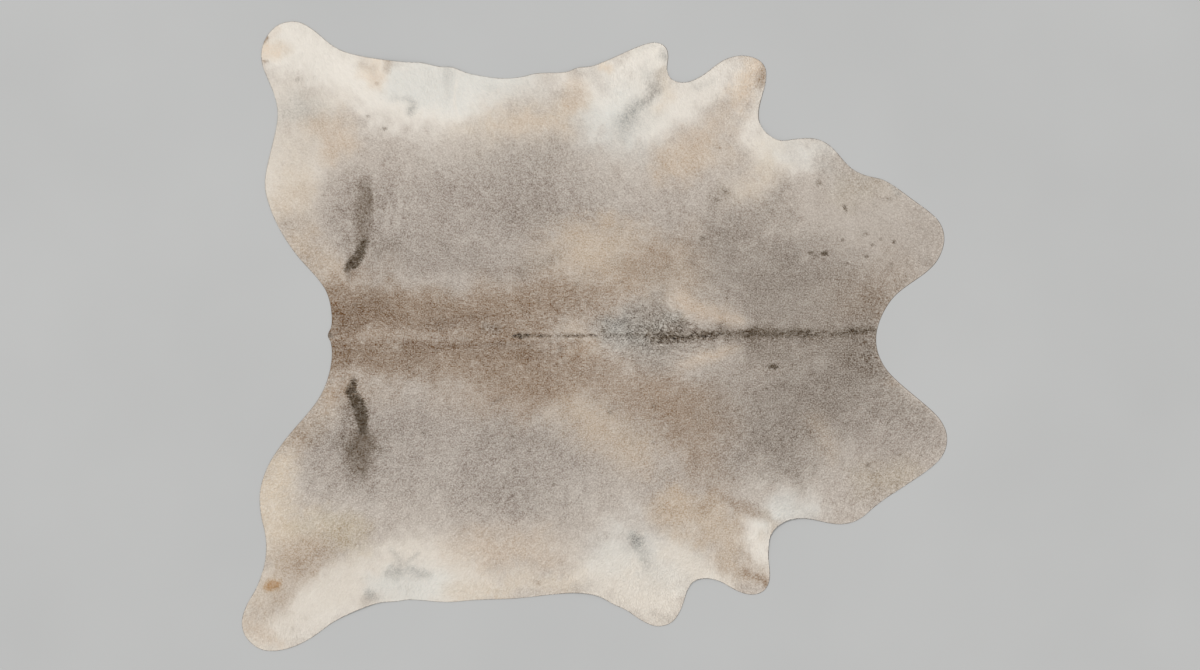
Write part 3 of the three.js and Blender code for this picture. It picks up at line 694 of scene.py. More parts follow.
def curls(x, y, seed):
    """Thin wandering lines where locks of hair part, as a share from 0 to 1."""
    bent_x = x + CURL_BEND * clouds(x, y, CURL_BEND_SIZE, seed)
    bent_y = y + CURL_BEND * clouds(x, y, CURL_BEND_SIZE, seed + 1)
    line = soft_step(1.0 - np.abs(clouds(bent_x, bent_y, CURL_SIZE, seed + 2)) / CURL_WIDTH)
    patch = CURL_PATCH_GAIN * clouds(x, y, CURL_PATCH_SIZE, seed + 3) - CURL_PATCH_CUT
    return line * soft_step(patch)


def blend_towards(coat, colour, share):
    """Moves the coat's colour part of the way to another, or away from it where `share` is below 0."""
    coat[:, :3] += (colour[:3] - coat[:, :3]) * share[:, None]


def coat_at(x, y, colours):
    """The coat's colour at points in millimetres, as 8-bit sRGB numbers, and how roan it is."""
    wander_x, wander_y = layered_clouds(x, y, WANDER_X), layered_clouds(x, y, WANDER_Y)
    stipple = layered_clouds(x, y, STIPPLE)
    tufts = clouds(x, y, TUFT_SIZE, TUFT_SEED)
    coat = np.empty(x.shape + (4,))
    coat[:] = colours["mantle"]
    for mark in MARKS:
        ragged = min(1.0, mark.feather / FULL_WANDER_FEATHER)
        reach = np.max(mark.half_width) + FEATHERS_OUT * mark.feather + WANDER_REACH * ragged
        points = np.array(mark.path)
        low, high = points.min(0) - reach, points.max(0) + reach
        near = (x > low[0]) & (x < high[0]) & (y > low[1]) & (y < high[1])
        moved_x, moved_y = x[near] + ragged * wander_x[near], y[near] + ragged * wander_y[near]
        weight = mark_weight(moved_x, moved_y, mark, stipple[near])
        if mark.colour == "dark":
            weight = np.clip(weight * (1 + TUFT_BREAK * tufts[near]), 0.0, 1.0)
        coat[near] += weight[:, None] * (colours[mark.colour] - coat[near])
    shaded = np.clip((PALE_HAIR - coat[:, 0]) / PALE_FADE, 0.0, 1.0)
    blend_towards(coat, colours["dark"], SPECK_SHARE * specks(x, y) * shaded)
    blend_towards(coat, colours["cream"], PALE_CURLS * curls(x, y, PALE_CURL_SEED) * coat[:, 3])
    blend_towards(coat, colours["dark"], DARK_CURLS * curls(x, y, DARK_CURL_SEED) * coat[:, 3])
    tousled = sum(mark_weight(x, y, tousle, 0.0) for tousle in TOUSLES)
    blend_towards(coat, colours["cream"], -tousled * tufts)
    mottled = sum(
        mottle.strength * clouds(x, y / mottle.stretch, mottle.size, mottle.seed) for mottle in MOTTLES
    )
    blend_towards(coat, colours["cream"], -mottled * coat[:, 3])
    return coat


class HideMap:
    """The hide's outline and heights, read from the CAD solid on an even lattice, in millimetres."""

    STEP = 6.0
    MARGIN = 36.0

    def __init__(self, node, smooth):
        self.rim = smooth_rim(read_rim(node))
        low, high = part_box(HIDE_NODE)
        self.low = np.array(low[:2]) / MM - self.MARGIN
        counts = np.ceil((np.array(high[:2]) / MM + self.MARGIN - self.low) / self.STEP).astype(int) + 1
        self.x = self.low[0] + self.STEP * np.arange(counts[0])
        self.y = self.low[1] + self.STEP * np.arange(counts[1])
        self.depth_in = self.read_depth_in()
        top, under = self.read_heights(node)
        self.top = blurred(top, smooth / self.STEP)
        self.under = blurred(under, smooth / self.STEP)

    def read_depth_in(self):
        """Distance from the rim at each lattice point: positive on the hide, negative off it."""
        fine = even_loop(self.rim, FINE_RIM_STEP)
        tree = KDTree(len(fine))
        for index, (x, y) in enumerate(fine):
            tree.insert((x, y, 0.0), index)
        tree.balance()
        gaps = [[tree.find((x, y, 0.0))[2] for y in self.y] for x in self.x]
        return np.array(gaps) * np.where(inside_loop(self.rim, self.x, self.y), 1.0, -1.0)

    def read_heights(self, node):
        """Heights of the solid's top and underside, carried a little way out past the rim."""
        tree = BVHTree.FromPolygons(
            [v.co / MM for v in node.data.vertices], [p.vertices[:] for p in node.data.polygons]
        )
        up, down = Vector((0, 0, 1)), Vector((0, 0, -1))
        heights = np.full((2, len(self.x), len(self.y)), np.nan)
        for i, j in zip(*np.nonzero(self.depth_in > 0)):
            above = tree.ray_cast(Vector((self.x[i], self.y[j], 100)), down)[0]
            below = tree.ray_cast(Vector((self.x[i], self.y[j], -100)), up)[0]
            if above is not None and below is not None:
                heights[:, i, j] = above.z, below.z
        return spread_out(heights[0]), spread_out(heights[1])

    def at(self, values, x, y):
        """Values of a lattice between its points."""
        u = np.clip((x - self.low[0]) / self.STEP, 0, len(self.x) - 1.001)
        v = np.clip((y - self.low[1]) / self.STEP, 0, len(self.y) - 1.001)
        i, j = u.astype(int), v.astype(int)
        u, v = u - i, v - j
        return (
            values[i, j] * (1 - u) * (1 - v) + values[i + 1, j] * u * (1 - v)
            + values[i, j + 1] * (1 - u) * v + values[i + 1, j + 1] * u * v
        )


def read_rim(node):
    """The rim of the solid's underside, as one closed loop of points in millimetres."""
    solid = bmesh.new()
    solid.from_mesh(node.data)
    bmesh.ops.remove_doubles(solid, verts=solid.verts, dist=0.01 * MM)
    solid.normal_update()
    follows = {}
    for edge in solid.edges:
        steep = [abs(face.normal.z) < WALL_NORMAL for face in edge.link_faces]
        under = [face.normal.z < -UNDERSIDE_NORMAL for face in edge.link_faces]
        if any(steep) and any(under):
            here, there = edge.verts
            follows.setdefault(here, []).append(there)
            follows.setdefault(there, []).append(here)
    start = max(follows, key=lambda corner: corner.co.x)
    loop, before, here = [start], None, start
    while True:
        ahead = [corner for corner in follows[here] if corner is not before]
        before, here = here, ahead[0]
        if here is start:
            break
        loop.append(here)
    points = np.array([corner.co[:2] for corner in loop]) / MM
    solid.free()
    x, y = points.T
    area = 0.5 * np.sum(x * np.roll(y, -1) - y * np.roll(x, -1))
    return points if area > 0 else points[::-1]


def even_loop(points, step):
    """The same closed loop with points every `step`."""
    closed = np.vstack([points, points[:1]])
    run = np.concatenate([[0.0], np.cumsum(np.hypot(*np.diff(closed, axis=0).T))])
    places = np.linspace(0.0, run[-1], round(run[-1] / step), endpoint=False)
    return np.column_stack([np.interp(places, run, closed[:, axis]) for axis in (0, 1)])


def smooth_rim(points):
    """The rim with the corners of its facets rounded away."""
    points = even_loop(points, RIM_STEP)
    for _ in range(3):
        points = 0.25 * np.roll(points, 1, axis=0) + 0.5 * points + 0.25 * np.roll(points, -1, axis=0)
    return points


def inside_loop(loop, xs, ys):
    """Which points of a lattice lie inside a closed loop."""
    x0, y0 = loop.T
    x1, y1 = np.roll(loop, -1, axis=0).T
    inside = np.zeros((len(xs), len(ys)), dtype=bool)
    for row, y in enumerate(ys):
        crosses = (y0 > y) != (y1 > y)
        from_x, from_y, to_x, to_y = x0[crosses], y0[crosses], x1[crosses], y1[crosses]
        crossings = from_x + (y - from_y) * (to_x - from_x) / (to_y - from_y)
        inside[:, row] = np.sum(xs[:, None] < crossings[None, :], axis=1) % 2 == 1
    return inside


def spread_out(values):
    """Fills the empty lattice points with the mean of their filled neighbours, ring by ring."""
    values = values.copy()
    while np.isnan(values).any():
        framed = np.pad(values, 1, constant_values=np.nan)
        around = np.stack([framed[:-2, 1:-1], framed[2:, 1:-1], framed[1:-1, :-2], framed[1:-1, 2:]])
        filled = ~np.isnan(around)
        count = filled.sum(0)
        mean = np.where(filled, around, 0).sum(0) / np.maximum(count, 1)
        fill = np.isnan(values) & (count > 0)
        values[fill] = mean[fill]
    return values


def blurred(values, reach):
    """A soft blur of a lattice, `reach` points wide."""
    span = int(math.ceil(3 * reach))
    weights = np.exp(-0.5 * (np.arange(-span, span + 1) / reach) ** 2)
    weights /= weights.sum()
    for axis in (0, 1):
        framed = np.pad(values, [(span, span) if side == axis else (0, 0) for side in (0, 1)], mode="edge")
        count = values.shape[axis]
        values = sum(
            weight * np.take(framed, np.arange(shift, shift + count), axis=axis)
            for shift, weight in enumerate(weights)
        )
    return values


# How the hair lies: it runs back from the neck, turns out over the flanks, and follows the legs.
# `heading` is in degrees anticlockwise from the neck's direction.
Lie = namedtuple("Lie", "place at reach heading")

LIES = (
    Lie("left hind leg", (-980, 930), 380, 122),
    Lie("right hind leg", (-1030, -900), 400, -125),
    Lie("left foreleg", (480, 800), 260, 62),
    Lie("right foreleg", (490, -760), 250, -62),
    Lie("left elbow flap", (170, 880), 220, 82),
    Lie("right elbow flap", (190, -860), 220, -82),
    Lie("left cheek", (1020, 330), 320, 128),
    Lie("right cheek", (1020, -340), 320, -128),
    Lie("left belly", (-350, 830), 260, 112),
    Lie("right belly", (-350, -820), 260, -112),
)
LIE_PULL = 1.6
WHORL_PLACE = (175, 8)
WHORL_REACH = 130
WHORL_PULL = 1.5
WHORL_TWIST = 0.8
FLANK_TURN = 52
FLANK_WIDTH = 620
RIDGE_WIDTH = 60
LIE_WANDER = ((0.16, 110, 21), (0.12, 24, 22))

# Faint streaks along the hair, and the difference between one lock and the next.
STREAK_LENGTH = 34
STREAK_WIDTH = 5
STREAK_SEED = 41
STREAK_SHARE = 0.03
LOCK_SHARE = 0.03
LOCK_LIGHTNESS = 0.02

# The form of a lock: lengths in millimetres, angles in degrees, and the rest as shares.
LOCK_LENGTHS = (0.75, 1.25)
LOCK_WIDTHS = (0.75, 1.25)
LOCK_SWELLS = (0.6, 1.2)
LOCK_RISES = (0.35, 0.85)
LOCK_TURN = 9
LOCK_LEAN = 7
WIDEST_AT = 0.45
SHOWN_AT = 0.65
ROOT_INSET = 2.2
ROOT_SINK = 0.15
TIP_DROOP = 0.35
LEAST_TIP_HEIGHT = 0.3
MARGIN_SPREAD = 1.6
SHORTEST_SHARE = 0.15
# Painted shade along a lock, given at its root, one side, its tip and the other side: darker at the root,
# where it lies under the locks above it, and a little lighter at the tip.
LOCK_PAINTED_SHADES = (0.92, 1.0, 1.04, 1.0)

# Finishes: linear colours from the darker to the paler, and the roan grain of coat and skin.
ROAN_GRAIN = 0.20
ROAN_SCALE = 220.0
ROAN_RANGE = (0.38, 0.62)
FLESH_COLOURS = ((0.42, 0.37, 0.32), (0.55, 0.50, 0.44))
# The cut edge is darker than raw leather alone: painted shade for the thin line of shadow along the rim.
EDGE_AND_SHADE_COLOURS = ((0.12, 0.10, 0.08), (0.22, 0.19, 0.16))
FLOOR_COLOURS = ((0.406, 0.408, 0.406), (0.427, 0.429, 0.427))

# The stage, in metres and degrees.
FLOOR_REACH = 300.0
ROOM_COLOUR = (0.55, 0.552, 0.55, 1.0)
ROOM_STRENGTH = 1.19
KEY_STRENGTH = 2.07
KEY_ANGLE = 28
KEY_COLOUR = (1.0, 0.995, 0.985)
KEY_TOWARDS = (0.45, -0.42, -1.0)


def hair_heading(x, y):
    """The direction in which the hair lies at each point, as an angle."""
    side = np.sign(y) * soft_step(np.abs(y) / RIDGE_WIDTH)
    turn = np.radians(FLANK_TURN) * soft_step(np.abs(y) / FLANK_WIDTH) * side
    run_x, run_y = -np.cos(turn), np.sin(turn)
    for lie in LIES:
        pull = LIE_PULL * soft_step(1 - np.hypot(x - lie.at[0], y - lie.at[1]) / lie.reach)
        run_x += pull * math.cos(math.radians(lie.heading))
        run_y += pull * math.sin(math.radians(lie.heading))
    from_x, from_y = x - WHORL_PLACE[0], y - WHORL_PLACE[1]
    gap = np.hypot(from_x, from_y) + 1e-6
    pull = WHORL_PULL * soft_step(1 - gap / WHORL_REACH)
    run_x += pull * (from_x - WHORL_TWIST * from_y) / gap
    run_y += pull * (from_y + WHORL_TWIST * from_x) / gap
    return np.arctan2(run_y, run_x) + layered_clouds(x, y, LIE_WANDER)


def to_linear(display):
    """Scene-linear colour from display colour, both from 0 to 1."""
    return np.where(display <= 0.04045, display / 12.92, ((display + 0.055) / 1.055) ** 2.4)


def to_display(linear):
    """Display colour from scene-linear colour, both from 0 to 1."""
    linear = np.clip(linear, 0.0, 1.0)
    return np.where(linear <= 0.0031308, linear * 12.92, 1.055 * linear ** (1 / 2.4) - 0.055)


def chosen_colours(scene):
    """The coat's colours as set in the panel: red, green and blue up to 255, and how roan."""
    chosen = scene.cowhide_colours
    return {
        name: np.append(255 * to_display(np.array(getattr(chosen, name))), hair.roan)
        for name, hair in COAT_COLOURS.items()
    }


def linear_coat(x, y, colours):
    """The coat at points in millimetres: scene-linear red, green and blue, and how roan it is."""
    coat = coat_at(x, y, colours)
    coat[:, :3] = to_linear(coat[:, :3] / 255)
    return coat


def colour_property(name, what):
    """A colour that the panel shows, with its default from the table of coat colours."""
    label = name.replace("_", " ").capitalize()
    default = tuple(float(part) for part in to_linear(np.array(COAT_COLOURS[name].colour) / 255))
    return FloatVectorProperty(
        name=label, description=what, default=default, size=3, min=0.0, max=1.0, subtype="COLOR"
    )


class CowhideColours(PropertyGroup):
    """Colours of the coat, each named for the hair that has it."""

    mantle: colour_property("mantle", "Ground of the body")
    cheek: colour_property("cheek", "Even hair of the neck and cheeks")
    cream: colour_property("cream", "Legs, belly and elbow flaps")
    white: colour_property("white", "Cool white hair at the groin and elbows")
    ivory: colour_property("ivory", "Duller cream of the right side")
    buff: colour_property("buff", "Yellowish edge of the thighs")
    tan: colour_property("tan", "Tan of the belly and forelegs")
    honey: colour_property("honey", "Warm pale hair beside the grey")
    warm_brown: colour_property("warm_brown", "Warm brown of the back")
    brown: colour_property("brown", "Bands of the rump and neck")
    deep_brown: colour_property("deep_brown", "Darkest part of the rump bands")
    grey: colour_property("grey", "Grey roan of the flanks")
    taupe: colour_property("taupe", "Dark roan of the neck and flanks")
    umber: colour_property("umber", "Shade beside the backbone and the crescents")
    slate: colour_property("slate", "Cool grey spots and the whorl")
    olive: colour_property("olive", "Greenish tan of the thigh and cheeks")
    peach: colour_property("peach", "Pale orange tips of the left side")
    smoke: colour_property("smoke", "Soft dark brown-grey of the thigh crescents")
    rust: colour_property("rust", "Rust spot of the right hind leg")
    dark: colour_property("dark", "Backbone line and thigh crescents")


class CowhideSizes(PropertyGroup):
    """Sizes of the skin and its coat."""

    coat_depth: FloatProperty(
        name="Coat depth", description="Height of the lying hair over the skin",
        default=2.4 * MM, min=0.5 * MM, max=6 * MM, subtype="DISTANCE", unit="LENGTH",
    )
    least_skin: FloatProperty(
        name="Least skin", description="Thickness that the skin keeps at its thin rim",
        default=1.2 * MM, min=0.5 * MM, max=4 * MM, subtype="DISTANCE", unit="LENGTH",
    )
    hair_length: FloatProperty(
        name="Hair length", description="Length of one lock of lying hair",
        default=15 * MM, min=4 * MM, max=60 * MM, subtype="DISTANCE", unit="LENGTH",
    )
    hair_width: FloatProperty(
        name="Hair width", description="Width of one lock of hair at its middle",
        default=2.3 * MM, min=0.3 * MM, max=8 * MM, subtype="DISTANCE", unit="LENGTH",
    )
    hair_spacing: FloatProperty(
        name="Hair spacing", description="Distance between the roots of neighbouring locks",
        default=2.78 * MM, min=2.7 * MM, max=20 * MM, subtype="DISTANCE", unit="LENGTH",
    )
    rim_margin: FloatProperty(
        name="Rim margin", description="How far inside the rim the hair ends",
        default=1.2 * MM, min=-6 * MM, max=10 * MM, subtype="DISTANCE", unit="LENGTH",
    )
    edge_bevel: FloatProperty(
        name="Edge bevel", description="How far the cut edge of the skin slopes inwards",
        default=2.0 * MM, min=0.0, max=4 * MM, subtype="DISTANCE", unit="LENGTH",
    )
    skin_step: FloatProperty(
        name="Skin step", description="Distance between the points of the skin's mesh",
        default=12 * MM, min=9 * MM, max=60 * MM, subtype="DISTANCE", unit="LENGTH",
    )
    seed: IntProperty(name="Seed", description="Start of the random numbers", default=7, min=0)


_kept = {}


def hide_map():
    """The map of the hide, read once and kept while the script runs."""
    if "map" not in _kept:
        _kept["map"] = HideMap(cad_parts[HIDE_NODE], smooth=MAP_SMOOTHING)
    return _kept["map"]


def skin_height(lie, x, y, sizes):
    """Height of the skin's hair side, below the solid's top by the depth of the coat."""
    top, under = lie.at(lie.top, x, y), lie.at(lie.under, x, y)
    return under + np.maximum(sizes.least_skin / MM, top - under - sizes.coat_depth / MM)


def add_link(tree, here, there):
    """Joins two sockets of a node tree."""
    tree.links.new(here, there)


def new_material(name):
    """A new node material, with its node tree and its shader."""
    material = bpy.data.materials.new(name)
    material.use_nodes = True
    return material, material.node_tree, material.node_tree.nodes["Principled BSDF"]


def noise(tree, scale, detail=2.0, stretch=(1.0, 1.0, 1.0)):
    """A noise texture laid on the object's own coordinates, `scale` to the metre."""
    place = tree.nodes.new("ShaderNodeTexCoord")
    mapping = tree.nodes.new("ShaderNodeMapping")
    mapping.inputs["Scale"].default_value = stretch
    texture = tree.nodes.new("ShaderNodeTexNoise")
    texture.inputs["Scale"].default_value = scale
    texture.inputs["Detail"].default_value = detail
    add_link(tree, place.outputs["Object"], mapping.inputs["Vector"])
    add_link(tree, mapping.outputs["Vector"], texture.inputs["Vector"])
    return texture.outputs["Fac"]


def scaled(tree, value, low, high, to_low, to_high):
    """A value moved from one range to another."""
    node = tree.nodes.new("ShaderNodeMapRange")
    node.clamp = False
    node.inputs["From Min"].default_value = low
    node.inputs["From Max"].default_value = high
    node.inputs["To Min"].default_value = to_low
    node.inputs["To Max"].default_value = to_high
    add_link(tree, value, node.inputs["Value"])
    return node.outputs["Result"]


def roan_colour(tree, colours):
    """The painted coat colour with its roan grain: more or fewer dark hairs among the cream ones."""
    cream = to_linear(colours["cream"][:3] / 255)
    paint = tree.nodes.new("ShaderNodeAttribute")
    paint.attribute_name = "coat_colour"
    fine = scaled(tree, noise(tree, ROAN_SCALE, detail=1.0), *ROAN_RANGE, -ROAN_GRAIN, ROAN_GRAIN)
    speckle = tree.nodes.new("ShaderNodeMath")
    speckle.operation = "MULTIPLY_ADD"
    speckle.inputs[2].default_value = 1.0
    add_link(tree, fine, speckle.inputs[0])
    add_link(tree, paint.outputs["Alpha"], speckle.inputs[1])
    apart = tree.nodes.new("ShaderNodeVectorMath")
    apart.operation = "SUBTRACT"
    apart.inputs[1].default_value = cream
    more = tree.nodes.new("ShaderNodeVectorMath")
    more.operation = "SCALE"
    back = tree.nodes.new("ShaderNodeVectorMath")
    back.operation = "ADD"
    back.inputs[1].default_value = cream
    add_link(tree, paint.outputs["Color"], apart.inputs[0])
    add_link(tree, apart.outputs["Vector"], more.inputs[0])
    add_link(tree, speckle.outputs["Value"], more.inputs["Scale"])
    add_link(tree, more.outputs["Vector"], back.inputs[0])
    return back.outputs["Vector"]


def coat_material(colours):
    """Short lying hair: the painted colour with a roan grain, matt with a faint silky sheen."""
    material, tree, shader = new_material("short lying hair")
    add_link(tree, roan_colour(tree, colours), shader.inputs["Base Color"])
    gloss = scaled(tree, noise(tree, 40.0), 0.3, 0.7, 0.52, 0.68)
    add_link(tree, gloss, shader.inputs["Roughness"])
    shader.inputs["Specular IOR Level"].default_value = 0.22
    shader.inputs["Sheen Weight"].default_value = 0.06
    shader.inputs["Sheen Roughness"].default_value = 0.5
    return material


def skin_material(colours):
    """The hair side of the skin between the locks: the coat's own colour, with fine pores."""
    material, tree, shader = new_material("skin under the hair")
    add_link(tree, roan_colour(tree, colours), shader.inputs["Base Color"])
    shader.inputs["Roughness"].default_value = 0.75
    shader.inputs["Specular IOR Level"].default_value = 0.2
    add_bump(tree, shader, noise(tree, 900.0, detail=3.0), strength=0.4, height=0.3 * MM)
    return material


def add_bump(tree, shader, height_value, strength, height):
    """A bump of the shader's surface from a height value."""
    bump = tree.nodes.new("ShaderNodeBump")
    bump.inputs["Strength"].default_value = strength
    bump.inputs["Distance"].default_value = height
    add_link(tree, height_value, bump.inputs["Height"])
    add_link(tree, bump.outputs["Normal"], shader.inputs["Normal"])


def blend_colours(tree, value, low_colour, high_colour):
    """A colour between two, by a value from 0 to 1."""
    ramp = tree.nodes.new("ShaderNodeValToRGB")
    ramp.color_ramp.elements[0].position = 0.3
    ramp.color_ramp.elements[1].position = 0.7
    ramp.color_ramp.elements[0].color = (*low_colour, 1.0)
    ramp.color_ramp.elements[1].color = (*high_colour, 1.0)
    add_link(tree, value, ramp.inputs["Fac"])
    return ramp.outputs["Color"]


def flesh_material():
    """The flesh side: pale grey-buff suede with a soft nap and faint tanning clouds."""
    material, tree, shader = new_material("suede flesh side")
    flesh = blend_colours(tree, noise(tree, 9.0, detail=6.0), *FLESH_COLOURS)
    add_link(tree, flesh, shader.inputs["Base Color"])
    shader.inputs["Roughness"].default_value = 0.92
    shader.inputs["Specular IOR Level"].default_value = 0.15
    shader.inputs["Sheen Weight"].default_value = 0.15
    add_bump(tree, shader, noise(tree, 1400.0, detail=4.0), strength=0.5, height=0.3 * MM)
    return material


def edge_and_shade_material():
    """The cut edge of the skin: raw tanned leather, made much darker than the flesh side as painted shade for
    the thin line of shadow along the rim.
    """
    material, tree, shader = new_material("cut leather edge with painted shade")
    fibres = noise(tree, 700.0, detail=3.0, stretch=(1.0, 1.0, 4.0))
    add_link(tree, blend_colours(tree, fibres, *EDGE_AND_SHADE_COLOURS), shader.inputs["Base Color"])
    shader.inputs["Roughness"].default_value = 0.85
    add_bump(tree, shader, fibres, strength=0.5, height=0.2 * MM)
    return material


def new_piece(name, mesh):
    """A new object that rides with the rug."""
    piece = bpy.data.objects.new(name, mesh)
    bpy.context.scene.collection.objects.link(piece)
    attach(piece, "root")
    return piece


def paint_points(mesh, coat):
    """Stores the coat's linear colour at each point of a mesh, with how roan it is as the alpha."""
    layer = mesh.attributes.new("coat_colour", "FLOAT_COLOR", "POINT")
    layer.data.foreach_set("color", np.maximum(coat, 0.0).astype(np.float32).ravel())


def skin_points(lie, step):
    """The rim loop, then an even triangular lattice of points well inside it."""
    lattice = []
    for row, y in enumerate(np.arange(lie.y[0], lie.y[-1], step * math.sqrt(0.75))):
        xs = np.arange(lie.x[0], lie.x[-1], step) + 0.5 * step * (row % 2)
        inside = lie.at(lie.depth_in, xs, np.full(xs.shape, y)) > 0.6 * step
        lattice += [(x, y) for x in xs[inside]]
    return np.vstack([lie.rim, np.array(lattice)])


def triangulated(points, rim_count):
    """Triangles between the points, with the first ones as the closed rim."""
    corners = [Vector((x, y)) for x, y in points]
    edges = [(index, (index + 1) % rim_count) for index in range(rim_count)]
    _, _, faces, order, _, _ = delaunay_2d_cdt(corners, edges, [list(range(rim_count))], 1, 1e-4)
    place = [sources[0] for sources in order]
    return [[place[corner] for corner in face] for face in faces]


def make_hide(context):
    """The skin: one closed sheet with a hair side, a cut edge and a flesh side."""
    sizes, lie = context.scene.cowhide_sizes, hide_map()
    points = skin_points(lie, sizes.skin_step / MM)
    rim_count, count = len(lie.rim), len(points)
    faces = triangulated(points, rim_count)
    x, y = points.T
    under = np.maximum(lie.at(lie.under, x, y), 0.0)
    under[under < LEAST_LIFT] = 0.0
    top_x, top_y = bevelled(points, rim_count, sizes.edge_bevel / MM).T
    top = skin_height(lie, top_x, top_y, sizes)
    corners = np.vstack([np.column_stack([top_x, top_y, top]), np.column_stack([x, y, under])]) * MM
    upper = [face if turns_left(points, face) else face[::-1] for face in faces]
    lower = [[corner + count for corner in reversed(face)] for face in upper]
    walls = []
    for here in range(rim_count):
        there = (here + 1) % rim_count
        walls.append([here + count, there + count, there, here])
    mesh = bpy.data.meshes.new("hide_skin")
    mesh.from_pydata([tuple(corner) for corner in corners], [], upper + lower + walls)
    colours = chosen_colours(context.scene)
    paint_points(mesh, np.vstack([linear_coat(x, y, colours)] * 2))
    for material in (skin_material(colours), flesh_material(), edge_and_shade_material()):
        mesh.materials.append(material)
    kinds = [0] * len(upper) + [1] * len(lower) + [2] * len(walls)
    mesh.polygons.foreach_set("material_index", kinds)
    mesh.polygons.foreach_set("use_smooth", [kind != 2 for kind in kinds])
    mesh.update()
    piece = new_piece("hide_skin", mesh)
    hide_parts(HIDE_NODE)
    return piece


def bevelled(points, rim_count, inset):
    """The points with those of the rim moved inwards, for the slope of the cut edge."""
    along = np.roll(points[:rim_count], -1, axis=0) - np.roll(points[:rim_count], 1, axis=0)
    along /= np.hypot(along[:, 0], along[:, 1])[:, None]
    inwards = np.column_stack([-along[:, 1], along[:, 0]])
    moved = points.copy()
    moved[:rim_count] += inset * inwards
    return moved


def turns_left(points, face):
    """Whether a triangle's corners run anticlockwise seen from above."""
    (x0, y0), (x1, y1), (x2, y2) = (points[corner] for corner in face[:3])
    return (x1 - x0) * (y2 - y0) > (y1 - y0) * (x2 - x0)


def hair_roots(lie, spacing, chance):
    """Roots of the locks on a jittered lattice all over the hide, from the rump to the neck."""
    xs, ys = np.arange(lie.x[0], lie.x[-1], spacing), np.arange(lie.y[0], lie.y[-1], spacing)
    x, y = np.meshgrid(xs, ys)
    x = (x + chance.uniform(-0.5, 0.5, x.shape) * spacing).ravel()
    y = (y + chance.uniform(-0.5, 0.5, y.shape) * spacing).ravel()
    on_hide = lie.at(lie.depth_in, x, y) > ROOT_INSET
    x, y = x[on_hide], y[on_hide]
    order = np.argsort(x, kind="stable")
    return x[order], y[order]


def hair_streaks(x, y, heading):
    """Faint streaks of darker and paler hair that run the way the hair lies."""
    steps = STREAK_LENGTH * np.linspace(-0.5, 0.5, 7)
    run_x, run_y = np.cos(heading), np.sin(heading)
    total = sum(clouds(x + step * run_x, y + step * run_y, STREAK_WIDTH, STREAK_SEED) for step in steps)
    return total / math.sqrt(len(steps))


def lock_lengths(lie, sizes, x, y, heading, chance):
    """Lengths of the locks, cut short where they would reach past the rim."""
    length = sizes.hair_length / MM * chance.uniform(*LOCK_LENGTHS, len(x))
    margin = sizes.rim_margin / MM * chance.uniform(0.0, MARGIN_SPREAD, len(x))
    for _ in range(2):
        here = lie.at(lie.depth_in, x, y)
        there = lie.at(lie.depth_in, x + length * np.cos(heading), y + length * np.sin(heading))
        share = (here - margin) / np.maximum(here - there, 0.01)
        length = np.where(there < margin, length * np.clip(share, SHORTEST_SHARE, 1.0), length)
    return length


def lock_corners(lie, sizes, x, y, heading, length, chance):
    """Root, side, tip and other side of each lock, in millimetres."""
    count = len(x)
    run_x, run_y = np.cos(heading), np.sin(heading)
    width = sizes.hair_width / MM * chance.uniform(*LOCK_WIDTHS, count)
    depth = sizes.coat_depth / MM
    swell = 0.5 * depth * chance.uniform(*LOCK_SWELLS, count)
    rise = depth * chance.uniform(*LOCK_RISES, count)
    lean = width * np.radians(LOCK_LEAN) * chance.standard_normal(count) * 0.5
    middle = WIDEST_AT * length
    tip_x, tip_y = x + length * run_x, y + length * run_y
    past = np.maximum(-lie.at(lie.depth_in, tip_x, tip_y), 0.0)
    tip_z = skin_height(lie, tip_x, tip_y, sizes) + rise - TIP_DROOP * past
    tip_z = np.maximum(tip_z, LEAST_TIP_HEIGHT)
    corners = np.empty((count, 4, 3))
    corners[:, 0] = np.column_stack([x, y, skin_height(lie, x, y, sizes) - ROOT_SINK])
    for corner, side in ((1, 1.0), (3, -1.0)):
        side_x = x + middle * run_x - side * 0.5 * width * run_y
        side_y = y + middle * run_y + side * 0.5 * width * run_x
        side_z = skin_height(lie, side_x, side_y, sizes) + swell + side * lean
        corners[:, corner] = np.column_stack([side_x, side_y, side_z])
    corners[:, 2] = np.column_stack([tip_x, tip_y, tip_z])
    return corners


def lock_paint(x, y, heading, colours, chance):
    """The colour of each lock and how roan it is, where the lock shows most."""
    paint = linear_coat(x, y, colours)
    streaks = hair_streaks(x, y, heading)
    cream = to_linear(colours["cream"][:3] / 255)
    roan = paint[:, 3] * (STREAK_SHARE * streaks + LOCK_SHARE * chance.standard_normal(len(x)))
    paint[:, :3] += (paint[:, :3] - cream) * roan[:, None]
    paint[:, :3] *= (1 + LOCK_LIGHTNESS * chance.standard_normal(len(x)))[:, None]
    return paint


def make_coat(context):
    """The coat: lying locks over the whole hide, as one joined mesh for each band of it."""
    sizes, lie = context.scene.cowhide_sizes, hide_map()
    colours = chosen_colours(context.scene)
    chance = np.random.default_rng(sizes.seed)
    x, y = hair_roots(lie, sizes.hair_spacing / MM, chance)
    heading = hair_heading(x, y) + np.radians(LOCK_TURN) * chance.standard_normal(len(x))
    length = lock_lengths(lie, sizes, x, y, heading, chance)
    corners = lock_corners(lie, sizes, x, y, heading, length, chance)
    shown_x = x + SHOWN_AT * length * np.cos(heading)
    shown_y = y + SHOWN_AT * length * np.sin(heading)
    paint = lock_paint(shown_x, shown_y, heading, colours, chance)
    material = coat_material(colours)
    bands = np.array_split(np.arange(len(x)), len(COAT_PIECES))
    return [
        coat_band(name, corners[band], paint[band], material)
        for name, band in zip(COAT_PIECES, bands)
    ]


